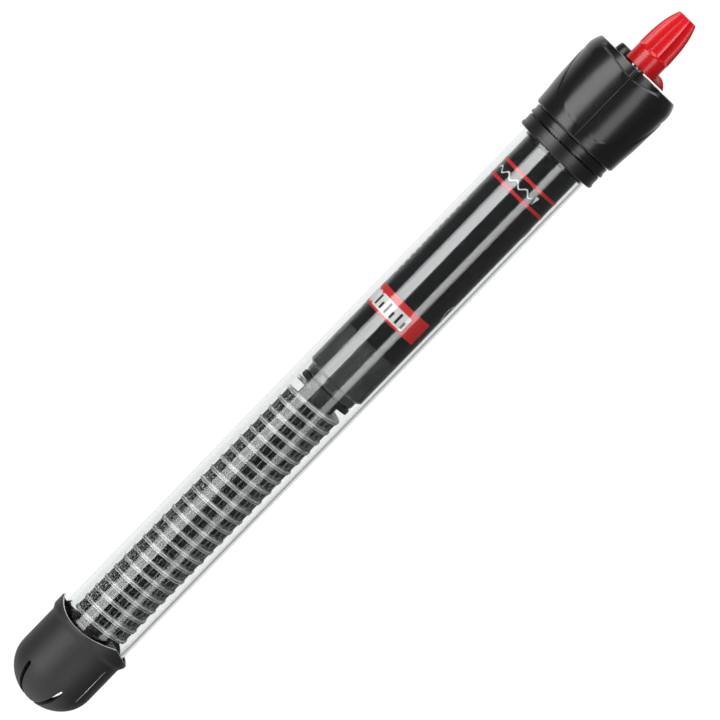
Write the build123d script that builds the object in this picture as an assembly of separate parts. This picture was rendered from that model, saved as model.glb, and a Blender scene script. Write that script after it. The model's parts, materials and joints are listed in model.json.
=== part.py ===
"""Submersible aquarium heater: glass tube, slotted end cap, adjustable head and the works inside.

Millimetres, +Z up along the tube from end cap to knob. Heights below are counted from the end cap's
tip. Every piece is moved down by ORIGIN_HEIGHT as it is written, so z = 0 is the middle of the
straight glass wall, where a holder clips on. The front of the heater faces -Y, its right is +X.
"""
from build123d import *
import os
from math import atan2, degrees, radians, sin

# ---------------------------------------------------------------- driving dimensions
# glass tube
GLASS_R = 12.5
GLASS_WALL = 1.1
GLASS_DOME_R = 12.2
GLASS_BOTTOM = 11.0
STRAIGHT_FROM = 32.0
STRAIGHT_TO = 233.4
LIP_R = 13.0
LIP_FROM = 238.4
LIP_TOP = 240.0
ORIGIN_HEIGHT = (STRAIGHT_FROM + STRAIGHT_TO) / 2

# end cap
CAP_R = 13.9
CAP_WALL = 1.1
CAP_DOME = 12.3
CAP_FLARE_FROM = 25.4
CAP_FLARE_TO = 27.4
CAP_RIM_R = 14.8
CAP_RIM_TOP = 31.6
CAP_RIM_WALL = 0.7
RIM_WAVES = 3
RIM_DIP = 3.3
RIM_DIP_AT = -111.0
SLOTS = 6
SLOT_WIDTH = 1.5
SLOT_TOP = 10.7
SLOT_AT = -63.0
DRAIN_R = 3.2
CAP_RIBS = 6
CAP_RIB_WIDTH = 1.6
CAP_RIB_BORE_R = 12.4
CAP_RIB_FROM = 14.0
CAP_RIB_TO = 25.5
MOULD_LINE_AT = -35.0

# heating element
ELEMENT_R = 9.65
ELEMENT_CORE_R = 6.15
ELEMENT_FROM = 28.0
DISC_THICK = 1.6
DISC_R = 9.3
ELEMENT_TO = 133.5
PITCH = 4.3
FLIGHT_THICK = 1.3
FLIGHT_TURNS = 23.4
FLIGHT_START_AT = 84.0
COIL_TURNS = 22.0
COIL_MEAN_R = 7.5
COIL_BUNDLE_R = 1.1
ROD_R = 1.5
ROD_FROM = 25.0
ROD_TO = 142.6
NUT_FLAT_R = 2.6
NUT_THICK = 2.2

# holder between element and thermostat
PLUG_R = 9.2
PLUG_TO = 136.7
CUP_R = 10.5
CUP_BORE_R = 8.8
CUP_FLOOR = 2.5
CUP_TO = 153.7
SPIGOT_R = 9.95
SPIGOT_TO = 158.5

# dark sleeve round the thermostat
SLEEVE_R = 10.5
SLEEVE_WALL = 0.5
SLEEVE_TO = 232.6
WINDOW_R = 1.7
WINDOW_AT = -4.0
WINDOW_HEIGHT = 210.8

# wires: places in plan (x, y)
WIRE_R = 0.9
LIVE_AT = (6.3, -3.0)
NEUTRAL_AT = (-6.3, -3.0)
LEAD_AT = (0.0, -6.5)
RETURN_AT = (3.6, 0.0)
RETURN_R = 0.6
WIRE_TOP = 250.0
CRIMP_R = 1.5

# thermostat
FRAME_HALF = 6.0
FRAME_Y = 4.2
FRAME_THICK = 0.8
FRAME_FROM = 139.4
FRAME_TO = 232.6
SHELF_HALF = 4.8
TOP_SHELF = 224.6
LOW_SHELF = 200.0
SCREW_R = 1.95
SCREW_FROM = 198.9
RUNNING = 0.05
NUT_FROM = 208.0
NUT_TALL = 5.0
NUT_HALF = 3.5
NUT_Y = (-3.8, 3.6)
TONGUE_HALF = 1.3
TONGUE_TRAVEL = 5.0
PEG_R = 0.9
PEG_AT = (0.0, -2.7)
PEG_FOOT = 204.35
PEG_GAP = 0.5
BLOCK_HALF = 4.0
ANCHOR_SPAN = (158.6, 165.6)
ARM_HALF = 2.5
ARM_Y = (-3.2, -2.6)
ARM_FROM = 166.0
ARM_TO = 204.2
BRACKET_Y = (-1.1, -0.5)
BRACKET_SPAN = (174.0, 198.0)
CONTACT_BLOCK_SPAN = (172.0, 184.0)
CONTACT_HEIGHT = 196.0
CONTACT_R = 1.3
CONTACT_THICK = 0.7
MAGNET_HALF = 1.8
MAGNET_THICK = 0.8
MAGNET_SPAN = (187.0, 191.0)
FASTENER_HEIGHTS = (162.0, 178.0)
RIVET_X = 2.4
RIVET_R = 1.3
RIVET_THICK = 0.6
TERMINAL_R = 1.1
TERMINAL_THICK = 1.1

# pilot lamp and small electrical pieces
LEG_R = 0.3
LAMP_R = 2.0
LAMP_SPAN = (203.6, 216.0)
LAMP_AT = (6.9, 1.2)
RESISTOR_R = 1.1
RESISTOR_SPAN = (189.0, 196.0)
RESISTOR_LEGS = (186.0, 203.5)
RESISTOR_AT = (6.6, 1.4)
CAPACITOR_HALF = 4.0
CAPACITOR_Y = (-8.6, -5.3)
CAPACITOR_SPAN = (180.0, 190.0)
CAPACITOR_LEGS = (172.0, 180.5)
CAPACITOR_LEG_X = 2.5

# head
STOPPER_R = 11.3
STOPPER_FROM = 232.8
FLANGE_R = 13.3
FLANGE_TO = 243.2
SEAL_FROM = 233.8
SEAL_TO = 238.2
SEAL_R = 14.65
LOCK_FROM = 238.45
LOCK_TO = 241.7
LOCK_R = 14.85
COVER_FROM = 242.0
COVER_TO = 270.1
COVER_FOOT_R = 15.6
COVER_BELLY_R = 16.5
COVER_BELLY = 263.5
COVER_TOP_R = 15.3
COVER_SIDE_MIDDLE = (16.25, 254.0)
COVER_SHOULDER_MIDDLE = (16.25, 268.0)
COVER_BORE_R = 13.6
COVER_PLATE = 3.6
COVER_EYE_R = 2.8
ARCH_R = 15.5
PANEL_R = 19.0
PANEL_OFFSET = 3.6
NOTCH_R = 14.4
CORE_R = 13.5
CHAMBER_R = 12.0
CHAMBER_TO = 254.0
BUSH_R = 4.5
ORING_FROM = 258.0
ORING_TALL = 2.4
ORING_SECTION_R = 0.75
ORING_GROOVE_R = 3.6
CLIP_POCKET_FROM = 264.3
CLIP_POCKET_R = 3.8
CLIP_R = 3.4
CLIP_FROM = 264.6
CLIP_TO = 265.4
CLIP_GROOVE_R = 1.6

# cord gland, standing beside the knob
GLAND_AT = (-6.2, 7.33)
GLAND_R = 3.6
GLAND_BORE_R = 2.7
GLAND_FROM = 262.5
GLAND_TO = 272.9
GLAND_GAP = 0.1

# adjusting knob
SPINDLE_R = 2.0
SPINDLE_FROM = 229.0
SPINDLE_TO = 286.0
COLLAR_R = 5.65
COLLAR_FROM = 270.6
COLLAR_TO = 276.5
GRIP_TO = 291.9
GRIP_MIDDLE = (5.35, 284.5)
GRIP_TIP_R = 3.2
FLUTES = 10
FLUTE_R = 1.5
FLUTE_DEPTH = 0.35
FLUTE_LEAN = 2.3
POINTER_R = 10.4
POINTER_TO = 273.6
POINTER_THICK = 1.6
POINTER_AT = 20.0


# ---------------------------------------------------------------- helpers
def rod(radius, low, high, at=(0.0, 0.0)):
    """An upright cylinder between two heights."""
    base = (Align.CENTER, Align.CENTER, Align.MIN)
    return Pos(at[0], at[1], low) * Cylinder(radius, high - low, align=base)


def ring(outer, inner, low, high, at=(0.0, 0.0)):
    """An upright tube between two heights."""
    return rod(outer, low, high, at) - rod(inner, low - 1, high + 1, at)


def block(x, y, z):
    """A box between three pairs of limits."""
    corner = (Align.MIN, Align.MIN, Align.MIN)
    size = [high - low for low, high in (x, y, z)]
    return Pos(x[0], y[0], z[0]) * Box(*size, align=corner)


def turned(outline):
    """The solid that a closed outline of radius and height sweeps round Z."""
    return revolve(Plane.XZ * make_face(outline), Axis.Z)


def stud(radius, height, y, x=0.0):
    """A cylinder lying along Y at a height, between two limits of y."""
    lying = Rot(X=-90) * Cylinder(radius, y[1] - y[0], align=(Align.CENTER, Align.CENTER, Align.MIN))
    return Pos(x, y[0], height) * lying


def ball_ended(radius, low, high, at):
    """An upright capsule."""
    capsule = rod(radius, low + radius, high - radius, at)
    for height in (low + radius, high - radius):
        capsule += Pos(at[0], at[1], height) * Sphere(radius)
    return capsule


def outward(radius, length):
    """A cylinder lying along +X from the axis."""
    return Rot(Y=90) * Cylinder(radius, length, align=(Align.CENTER, Align.CENTER, Align.MIN))


def bore_cuts(low, high):
    """The holes that the rod and the element's two wires need through the holder."""
    cuts = rod(ROD_R + 0.1, low, high)
    cuts += rod(WIRE_R + 0.1, low, high, NEUTRAL_AT)
    cuts += rod(WIRE_R + 0.1, low, high, LEAD_AT)
    return cuts + rod(RETURN_R + 0.1, low, high, RETURN_AT)


# ---------------------------------------------------------------- glass
def glass_tube():
    """Tube with a round closed end below and a flared mouth above."""
    centre = GLASS_BOTTOM + GLASS_DOME_R
    inner_dome = GLASS_DOME_R - GLASS_WALL
    outer = CenterArc((0, centre), GLASS_DOME_R, -90, 90)
    side = Polyline(
        (GLASS_DOME_R, centre),
        (GLASS_R, STRAIGHT_FROM),
        (GLASS_R, STRAIGHT_TO),
        (LIP_R, LIP_FROM),
        (LIP_R, LIP_TOP),
        (LIP_R - GLASS_WALL, LIP_TOP),
        (LIP_R - GLASS_WALL, LIP_FROM),
        (GLASS_R - GLASS_WALL, STRAIGHT_TO),
        (GLASS_R - GLASS_WALL, STRAIGHT_FROM),
        (inner_dome, centre),
    )
    inner = CenterArc((0, centre), inner_dome, -90, 90)
    axis = Line((0, GLASS_BOTTOM), (0, centre - inner_dome))
    return turned(outer + side + inner + axis)


def bottom_cushion():
    """Wool pad in the round end, which the element stands on."""
    centre = GLASS_BOTTOM + GLASS_DOME_R
    pad = Pos(0, 0, centre) * Sphere(GLASS_DOME_R - GLASS_WALL - 0.1)
    return pad & rod(GLASS_R, GLASS_BOTTOM, ROD_FROM - 0.5)


# ---------------------------------------------------------------- end cap
def cap_blank(radius, rim_radius, floor):
    """Bell of revolution: a flattened dome, a straight wall and a flared rim."""
    dome = EllipticalCenterArc((0, CAP_DOME), radius, CAP_DOME - floor, start_angle=-90, arc_size=90)
    side = Polyline(
        (radius, CAP_DOME),
        (radius, CAP_FLARE_FROM),
        (rim_radius, CAP_FLARE_TO),
        (rim_radius, CAP_RIM_TOP),
        (0, CAP_RIM_TOP),
        (0, floor),
    )
    return turned(dome + side)


def slot_cut(angle):
    """One round-ended slot, from the drain hole up over the dome."""
    reach = CAP_R + 2
    half = SLOT_WIDTH / 2
    cut = block((0, reach), (-half, half), (-1, SLOT_TOP - half))
    end = Pos(0, 0, SLOT_TOP - half) * outward(half, reach)
    return Rot(Z=angle) * (cut + end)


def rim_wave_cut(angle):
    """One shallow arc out of the rim, a third of the way round."""
    half_span = CAP_RIM_R * sin(radians(180 / RIM_WAVES))
    radius = (half_span**2 + RIM_DIP**2) / (2 * RIM_DIP)
    return Rot(Z=angle) * Pos(0, 0, CAP_RIM_TOP - RIM_DIP + radius) * outward(radius, CAP_RIM_R + 2)


def end_cap():
    """Slotted guard that pushes over the tube's closed end."""
    cap = cap_blank(CAP_R, CAP_RIM_R, 0.0)
    cap -= cap_blank(CAP_R - CAP_WALL, CAP_RIM_R - CAP_RIM_WALL, CAP_WALL)
    for index in range(CAP_RIBS):
        half = CAP_RIB_WIDTH / 2
        rib = block((CAP_RIB_BORE_R, CAP_R - CAP_WALL / 2), (-half, half), (CAP_RIB_FROM, CAP_RIB_TO))
        cap += Rot(Z=SLOT_AT + (index + 0.5) * 360 / CAP_RIBS) * rib
    for index in range(2):
        line = block((CAP_R - 0.3, CAP_R + 0.12), (-0.25, 0.25), (10.5, 24.0))
        cap += Rot(Z=MOULD_LINE_AT + index * 180) * line
    cap -= rod(DRAIN_R, -1, CAP_DOME)
    for index in range(SLOTS):
        cap -= slot_cut(SLOT_AT + index * 360 / SLOTS)
    for index in range(RIM_WAVES):
        cap -= rim_wave_cut(RIM_DIP_AT + index * 360 / RIM_WAVES)
    return cap


# ---------------------------------------------------------------- heating element
def element_lower_disc():
    """Ceramic end plate under the windings."""
    disc = rod(DISC_R, ELEMENT_FROM, ELEMENT_FROM + DISC_THICK)
    return disc - rod(ROD_R + 0.1, 0, ELEMENT_TO) - rod(RETURN_R + 0.1, 0, ELEMENT_TO, RETURN_AT)


def element_core():
    """Ceramic bar that carries the windings, bored for the rod and the return wire."""
    core = rod(ELEMENT_CORE_R, ELEMENT_FROM + DISC_THICK, ELEMENT_TO - DISC_THICK)
    return core - rod(ROD_R + 0.1, 0, ELEMENT_TO) - rod(RETURN_R + 0.1, 0, ELEMENT_TO, RETURN_AT)


def helical(section_of, radius, turns, low, angle):
    """A section swept up a right-handed helix that starts at a height and an angle."""
    path = Helix(pitch=PITCH, height=PITCH * turns, radius=radius)
    start = Plane(origin=path @ 0, x_dir=(1, 0, 0), z_dir=path % 0)
    return Pos(0, 0, low) * Rot(Z=angle) * sweep(start * section_of, path=path, is_frenet=True)


def element_flight():
    """Helical ceramic rib that keeps the turns of the winding apart."""
    inner = ELEMENT_CORE_R + 0.02
    section = Rectangle(ELEMENT_R - inner, FLIGHT_THICK)
    low = ELEMENT_FROM + DISC_THICK + FLIGHT_THICK / 2 + 0.1
    return helical(section, (ELEMENT_R + inner) / 2, FLIGHT_TURNS, low, FLIGHT_START_AT)


def heating_coil():
    """Outer shape of the coiled resistance wire, lying between the turns of the rib."""
    low = ELEMENT_FROM + DISC_THICK + FLIGHT_THICK / 2 + 0.1 + PITCH / 2
    return helical(Circle(COIL_BUNDLE_R), COIL_MEAN_R, COIL_TURNS, low, FLIGHT_START_AT)


def element_upper_disc():
    """Ceramic end plate over the windings, with holes for the wires."""
    return rod(DISC_R, ELEMENT_TO - DISC_THICK, ELEMENT_TO) - bore_cuts(0, ELEMENT_TO + 1)


def centre_rod():
    """Steel rod that ties the element to the holder."""
    return rod(ROD_R, ROD_FROM, ROD_TO)


def rod_nuts():
    """The two hexagon nuts at the rod's ends."""
    hexagon = RegularPolygon(NUT_FLAT_R, 6, major_radius=False) - Circle(ROD_R)
    nut = extrude(hexagon, NUT_THICK)
    low = Pos(0, 0, ELEMENT_FROM - NUT_THICK) * nut
    high = Pos(0, 0, PLUG_TO + CUP_FLOOR) * nut
    return Compound([low, high])


# ---------------------------------------------------------------- holder
def neck_plug():
    """Stepped plug between the element and the cup."""
    plug = rod(PLUG_R, ELEMENT_TO, PLUG_TO)
    plug = fillet(plug.edges().group_by(Axis.Z)[0], 1.6)
    return plug - bore_cuts(ELEMENT_TO - 1, PLUG_TO + 1)


def holder_cup():
    """Grey cup with a chamfered foot and a spigot that centres the dark sleeve."""
    cup = rod(CUP_R, PLUG_TO, CUP_TO)
    cup = chamfer(cup.edges().group_by(Axis.Z)[0], 1.0)
    cup += rod(SPIGOT_R, CUP_TO, SPIGOT_TO)
    cup -= rod(CUP_BORE_R, PLUG_TO + CUP_FLOOR, SPIGOT_TO + 1)
    return cup - bore_cuts(PLUG_TO - 1, PLUG_TO + CUP_FLOOR + 1)


def light_sleeve():
    """Thin dark sleeve round the thermostat, with a hole for the pilot lamp's window."""
    sleeve = ring(SLEEVE_R, SLEEVE_R - SLEEVE_WALL, CUP_TO, SLEEVE_TO)
    return sleeve - Pos(0, 0, WINDOW_HEIGHT) * Rot(Z=WINDOW_AT) * outward(WINDOW_R + 0.05, SLEEVE_R + 2)


def lamp_window():
    """Small clear red window in the sleeve, in front of the pilot lamp."""
    plug = Pos(0, 0, WINDOW_HEIGHT) * Rot(Z=WINDOW_AT) * outward(WINDOW_R, SLEEVE_R + 2)
    low, high = WINDOW_HEIGHT - 5, WINDOW_HEIGHT + 5
    return plug & ring(SLEEVE_R + 0.1, SLEEVE_R - SLEEVE_WALL - 0.2, low, high)


# ---------------------------------------------------------------- thermostat
def thermostat_frame():
    """Bent steel carrier: an upright with two shelves that hold the adjusting screw."""
    back = FRAME_Y + FRAME_THICK
    frame = block((-FRAME_HALF, FRAME_HALF), (FRAME_Y, back), (FRAME_FROM, FRAME_TO))
    frame += block((-SHELF_HALF, SHELF_HALF), (-5.0, back), (TOP_SHELF, TOP_SHELF + FRAME_THICK))
    frame += block((-SHELF_HALF, SHELF_HALF), (-2.4, back), (LOW_SHELF, LOW_SHELF + FRAME_THICK))
    frame -= rod(SCREW_R + RUNNING + 0.02, LOW_SHELF - 1, TOP_SHELF + 2)
    slot_half = TONGUE_HALF + 0.3
    slot_span = (NUT_FROM - TONGUE_TRAVEL, NUT_FROM + NUT_TALL + TONGUE_TRAVEL)
    return frame - block((-slot_half, slot_half), (FRAME_Y - 1, back + 1), slot_span)


def anchor_block():
    """Ceramic block that holds the bimetal arm off the frame."""
    return block((-BLOCK_HALF, BLOCK_HALF), (ARM_Y[1], FRAME_Y), ANCHOR_SPAN)


def anchor_plate():
    """Steel foot that the bimetal arm springs from."""
    return block((-ARM_HALF, ARM_HALF), ARM_Y, ANCHOR_SPAN)


def bimetal_arm():
    """Bimetal strip that bends as the water warms and opens the contacts."""
    return block((-ARM_HALF, ARM_HALF), ARM_Y, (ARM_FROM, ARM_TO))


def moving_contact():
    """Silver contact on the arm."""
    return stud(CONTACT_R, CONTACT_HEIGHT, (ARM_Y[1], ARM_Y[1] + CONTACT_THICK))


def fixed_contact():
    """Silver contact on the bracket."""
    return stud(CONTACT_R, CONTACT_HEIGHT, (BRACKET_Y[0] - CONTACT_THICK, BRACKET_Y[0]))


def contact_bracket():
    """Brass strip that carries the fixed contact."""
    return block((-ARM_HALF, ARM_HALF), BRACKET_Y, BRACKET_SPAN)


def contact_block():
    """Ceramic block that holds the fixed contact's strip off the frame."""
    return block((-BLOCK_HALF, BLOCK_HALF), (BRACKET_Y[1], FRAME_Y), CONTACT_BLOCK_SPAN)


def snap_magnet():
    """Small magnet that makes the contacts open and close with a snap."""
    return block((-MAGNET_HALF, MAGNET_HALF), (BRACKET_Y[0] - MAGNET_THICK, BRACKET_Y[0]), MAGNET_SPAN)


def frame_rivets():
    """Rivet heads on the frame's back, two for each ceramic block."""
    back = FRAME_Y + FRAME_THICK
    heads = []
    for height in FASTENER_HEIGHTS:
        for x in (-RIVET_X, RIVET_X):
            heads.append(stud(RIVET_R, height, (back, back + RIVET_THICK), x))
    return Compound(heads)


def terminal_screws():
    """The wires' two clamping screws, on the bracket and on the arm's foot."""
    lower = stud(TERMINAL_R, FASTENER_HEIGHTS[0], (ARM_Y[0] - TERMINAL_THICK, ARM_Y[0]))
    upper = stud(TERMINAL_R, FASTENER_HEIGHTS[1], (BRACKET_Y[0] - TERMINAL_THICK, BRACKET_Y[0]))
    return Compound([lower, upper])


def adjusting_screw():
    """Screw that the knob turns between the frame's shelves; its thread is drawn plain."""
    return rod(SCREW_R, SCREW_FROM, SPINDLE_FROM)


def travelling_nut():
    """Brass nut that rides the screw, kept from turning by a tongue in the frame's slot."""
    top = NUT_FROM + NUT_TALL
    nut = block((-NUT_HALF, NUT_HALF), NUT_Y, (NUT_FROM, top))
    nut += block((-TONGUE_HALF, TONGUE_HALF), (NUT_Y[1], FRAME_Y + FRAME_THICK + 0.3), (NUT_FROM, top))
    return nut - rod(SCREW_R + RUNNING, NUT_FROM - 1, top + 1)


def push_bead():
    """Ceramic peg under the nut, whose slanted foot leans the arm's tip outwards as it comes down."""
    peg = rod(PEG_R, PEG_FOOT, NUT_FROM, PEG_AT) - rod(SCREW_R + 0.3, PEG_FOOT - 1, NUT_FROM)
    y, height = ARM_Y[1], ARM_TO + PEG_GAP
    slope = Polyline((y - 2, height + 2), (y + 1, height - 1), (y - 2, height - 1), close=True)
    return peg - extrude(Plane.YZ * make_face(slope), PEG_R + 1, both=True)


def drive_coupling():
    """Brass bush that joins the knob's spindle to the adjusting screw."""
    bush = ring(3.2, SPINDLE_R, SPINDLE_FROM, SPINDLE_FROM + 2.6)
    return bush + ring(3.2, SCREW_R, SPINDLE_FROM - 2.4, SPINDLE_FROM)


def pilot_lamp():
    """Neon capsule behind the window."""
    return ball_ended(LAMP_R, LAMP_SPAN[0], LAMP_SPAN[1], LAMP_AT)


def lamp_resistor():
    """Series resistor under the lamp."""
    body = rod(RESISTOR_R, RESISTOR_SPAN[0], RESISTOR_SPAN[1], RESISTOR_AT)
    return body + rod(LEG_R, RESISTOR_LEGS[0], RESISTOR_LEGS[1], RESISTOR_AT)


def suppression_capacitor():
    """Film capacitor across the contacts."""
    body = block((-CAPACITOR_HALF, CAPACITOR_HALF), CAPACITOR_Y, CAPACITOR_SPAN)
    body = fillet(body.edges().filter_by(Axis.Z), 0.8)
    middle = (CAPACITOR_Y[0] + CAPACITOR_Y[1]) / 2
    for x in (-CAPACITOR_LEG_X, CAPACITOR_LEG_X):
        body += rod(LEG_R, CAPACITOR_LEGS[0], CAPACITOR_LEGS[1], (x, middle))
    return body


# ---------------------------------------------------------------- wires
def live_wire():
    """From the cord's chamber down to the fixed contact's level."""
    return rod(WIRE_R, FASTENER_HEIGHTS[1], WIRE_TOP, LIVE_AT)


def neutral_wire():
    """From the cord's chamber down to the element."""
    return rod(WIRE_R, ELEMENT_TO - 1, WIRE_TOP, NEUTRAL_AT)


def element_lead():
    """From the bimetal arm's foot down to the element."""
    return rod(WIRE_R, ELEMENT_TO - 1, ANCHOR_SPAN[1], LEAD_AT)


def return_lead():
    """Bare wire up the core's small bore, from the winding's lower end."""
    return rod(RETURN_R, ELEMENT_FROM, PLUG_TO + CUP_FLOOR, RETURN_AT)


def crimp_sleeves():
    """Crimps where the cord's two cores join the wires."""
    crimps = []
    for at in (LIVE_AT, NEUTRAL_AT):
        crimps.append(ring(CRIMP_R, WIRE_R, WIRE_TOP - 3, WIRE_TOP + 2, at))
    return Compound(crimps)


# ---------------------------------------------------------------- head
def glass_stopper():
    """Rubber stopper that plugs the tube's mouth."""
    plug = rod(STOPPER_R, STOPPER_FROM, LIP_TOP) + rod(FLANGE_R, LIP_TOP, FLANGE_TO)
    plug -= rod(SPINDLE_R + RUNNING, STOPPER_FROM - 1, FLANGE_TO + 1)
    plug -= rod(WIRE_R, STOPPER_FROM - 1, FLANGE_TO + 1, LIVE_AT)
    return plug - rod(WIRE_R, STOPPER_FROM - 1, FLANGE_TO + 1, NEUTRAL_AT)


def neck_seal_ring():
    """Rubber ring round the tube's flared mouth."""
    bead = rod(SEAL_R, SEAL_FROM, SEAL_TO)
    bead = fillet(bead.edges(), 0.7)
    hole = Polyline(
        (0, SEAL_FROM - 1),
        (GLASS_R + 0.1, SEAL_FROM - 1),
        (GLASS_R + 0.1, SEAL_FROM),
        (LIP_R + 0.05, SEAL_TO),
        (LIP_R + 0.05, SEAL_TO + 1),
        (0, SEAL_TO + 1),
        close=True,
    )
    return bead - turned(hole)


def neck_lock_ring():
    """Plastic ring that clamps the stopper's flange to the tube."""
    bead = rod(LOCK_R, LOCK_FROM, LOCK_TO)
    bead = fillet(bead.edges(), 0.5)
    return bead - rod(FLANGE_R + 0.1, LOCK_FROM - 1, LOCK_TO + 1)


def cover_barrel():
    """The cover's outer form: a slightly swollen barrel with a rounded shoulder."""
    foot = (COVER_FOOT_R, COVER_FROM)
    belly = (COVER_BELLY_R, COVER_BELLY)
    top = (COVER_TOP_R, COVER_TO)
    side = ThreePointArc(foot, COVER_SIDE_MIDDLE, belly)
    shoulder = ThreePointArc(belly, COVER_SHOULDER_MIDDLE, top)
    rest = Polyline(top, (0, COVER_TO), (0, COVER_FROM), foot)
    return turned(side + shoulder + rest)


def panel_cut():
    """What is cut from the front to leave a flatter, arch-footed thumb panel."""
    arch = stud(ARCH_R, COVER_TO - 10, (-25, 0))
    return arch - rod(PANEL_R, 0, COVER_TO + 20, (0.0, PANEL_OFFSET))


def notch_cut():
    """What is cut from the front of the top edge to leave a shallow double scoop."""
    above = COVER_TO + 5
    outline = Polyline(
        (-13.0, 269.4),
        (-0.6, 266.6),
        (0.6, 266.6),
        (10.0, 269.4),
        (10.0, above),
        (-13.0, above),
        close=True,
    )
    prism = extrude(Plane.XZ * make_face(outline), 25)
    return prism - rod(NOTCH_R, 0, COVER_TO + 20)


def head_cover():
    """Barrel-shaped outer cover with thumb panels front and back."""
    cover = cover_barrel()
    for turn in (0, 180):
        cover -= Rot(Z=turn) * panel_cut()
        cover -= Rot(Z=turn) * notch_cut()
    cover -= rod(COVER_BORE_R, COVER_FROM - 1, COVER_TO - COVER_PLATE)
    cover -= rod(COVER_EYE_R, COVER_FROM, COVER_TO + 1)
    return cover - rod(GLAND_R + GLAND_GAP, COVER_FROM, COVER_TO + 1, GLAND_AT)


def head_core():
    """Inner body with the spindle's bush, the cord's pocket and the wiring chamber."""
    top = COVER_TO - COVER_PLATE
    core = rod(CORE_R, FLANGE_TO, top)
    core -= ring(CHAMBER_R, BUSH_R, FLANGE_TO - 1, CHAMBER_TO)
    core -= rod(SPINDLE_R + RUNNING, FLANGE_TO - 1, top + 1)
    core -= rod(ORING_GROOVE_R, ORING_FROM, ORING_FROM + ORING_TALL)
    core -= rod(CLIP_POCKET_R, CLIP_POCKET_FROM, top + 1)
    pocket = rod(GLAND_R + GLAND_GAP, CHAMBER_TO - 1, top + 1, GLAND_AT)
    return core - (pocket & rod(CORE_R - 0.4, FLANGE_TO, top + 1))


def cord_grommet():
    """Rubber gland that the cord comes out of, with a domed top."""
    shoulder = COVER_TO
    dome_top_r = GLAND_BORE_R + 0.25
    outline = Polyline(
        (GLAND_BORE_R, GLAND_TO),
        (GLAND_BORE_R, GLAND_FROM),
        (GLAND_R, GLAND_FROM),
        (GLAND_R, shoulder),
    )
    outline += ThreePointArc((GLAND_R, shoulder), (GLAND_R - 0.12, shoulder + 1.7), (dome_top_r, GLAND_TO))
    outline += Line((dome_top_r, GLAND_TO), (GLAND_BORE_R, GLAND_TO))
    gland = Pos(GLAND_AT[0], GLAND_AT[1], 0) * turned(outline)
    plate_foot = COVER_TO - COVER_PLATE
    inside_core = rod(CORE_R - 0.45, GLAND_FROM - 1, plate_foot)
    above_core = rod(COVER_BELLY_R, plate_foot, GLAND_TO + 1)
    return gland & (inside_core + above_core)


# ---------------------------------------------------------------- knob
def knob_spindle():
    """Shaft from the knob to the coupling, with a groove for its clip."""
    shaft = rod(SPINDLE_R, SPINDLE_FROM, SPINDLE_TO)
    return shaft - ring(SPINDLE_R + 1, CLIP_GROOVE_R, CLIP_FROM, CLIP_TO)


def spindle_clip():
    """Retaining clip, open on one side, in the spindle's groove."""
    clip = ring(CLIP_R, CLIP_GROOVE_R, CLIP_FROM, CLIP_TO)
    return clip - block((0, CLIP_R + 1), (-1.0, 1.0), (CLIP_FROM - 1, CLIP_TO + 1))


def spindle_oring():
    """Seal round the spindle, in the core's groove."""
    middle = ORING_FROM + ORING_TALL / 2
    return Pos(0, 0, middle) * Torus(SPINDLE_R + 0.08 + ORING_SECTION_R, ORING_SECTION_R)


def flute_cut(angle):
    """One flute, leaning in as the grip narrows."""
    lean = degrees(atan2(FLUTE_LEAN, GRIP_TO - COLLAR_TO))
    cutter = Cylinder(FLUTE_R, 2 * (GRIP_TO - COLLAR_TO), align=(Align.CENTER, Align.CENTER, Align.MIN))
    return Rot(Z=angle) * Pos(COLLAR_R + FLUTE_R - FLUTE_DEPTH, 0, COLLAR_TO + 0.3) * Rot(Y=-lean) * cutter


def pointer():
    """Fin on the collar that points at the set temperature."""
    half = POINTER_THICK / 2
    outline = Polyline(
        (COLLAR_R + 0.8, POINTER_TO - 0.3),
        (COLLAR_R - 1, POINTER_TO),
        (COLLAR_R - 1, COLLAR_FROM),
        (POINTER_R, COLLAR_FROM),
    )
    outline += ThreePointArc(
        (POINTER_R, COLLAR_FROM), (POINTER_R - 1.2, POINTER_TO - 1.2), (COLLAR_R + 0.8, POINTER_TO - 0.3)
    )
    fin = extrude(Plane.XZ * make_face(outline), half, both=True)
    return Rot(Z=POINTER_AT) * fin


def adjusting_knob():
    """Fluted, tapering knob on a round collar."""
    grip_profile = ThreePointArc((COLLAR_R + 0.1, COLLAR_TO), GRIP_MIDDLE, (GRIP_TIP_R, GRIP_TO))
    outline = grip_profile + Polyline(
        (GRIP_TIP_R, GRIP_TO), (0, GRIP_TO), (0, COLLAR_FROM), (COLLAR_R, COLLAR_FROM), (COLLAR_R, COLLAR_TO)
    )
    outline += Line((COLLAR_R, COLLAR_TO), (COLLAR_R + 0.1, COLLAR_TO))
    knob = turned(outline)
    for index in range(FLUTES):
        knob -= flute_cut(-90 + index * 360 / FLUTES)
    knob += pointer()
    return knob - rod(SPINDLE_R, COLLAR_FROM - 1, SPINDLE_TO)


PIECES = (
    glass_tube,
    bottom_cushion,
    end_cap,
    element_lower_disc,
    element_core,
    element_flight,
    heating_coil,
    element_upper_disc,
    centre_rod,
    rod_nuts,
    neck_plug,
    holder_cup,
    light_sleeve,
    lamp_window,
    thermostat_frame,
    anchor_block,
    anchor_plate,
    bimetal_arm,
    moving_contact,
    fixed_contact,
    contact_bracket,
    contact_block,
    snap_magnet,
    frame_rivets,
    terminal_screws,
    adjusting_screw,
    travelling_nut,
    push_bead,
    drive_coupling,
    pilot_lamp,
    lamp_resistor,
    suppression_capacitor,
    live_wire,
    neutral_wire,
    element_lead,
    return_lead,
    crimp_sleeves,
    glass_stopper,
    neck_seal_ring,
    neck_lock_ring,
    head_core,
    head_cover,
    cord_grommet,
    knob_spindle,
    spindle_clip,
    spindle_oring,
    adjusting_knob,
)

os.makedirs("parts", exist_ok=True)
for piece in PIECES:
    export_step(Pos(0, 0, -ORIGIN_HEIGHT) * piece(), f"parts/{piece.__name__}.step")
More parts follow.
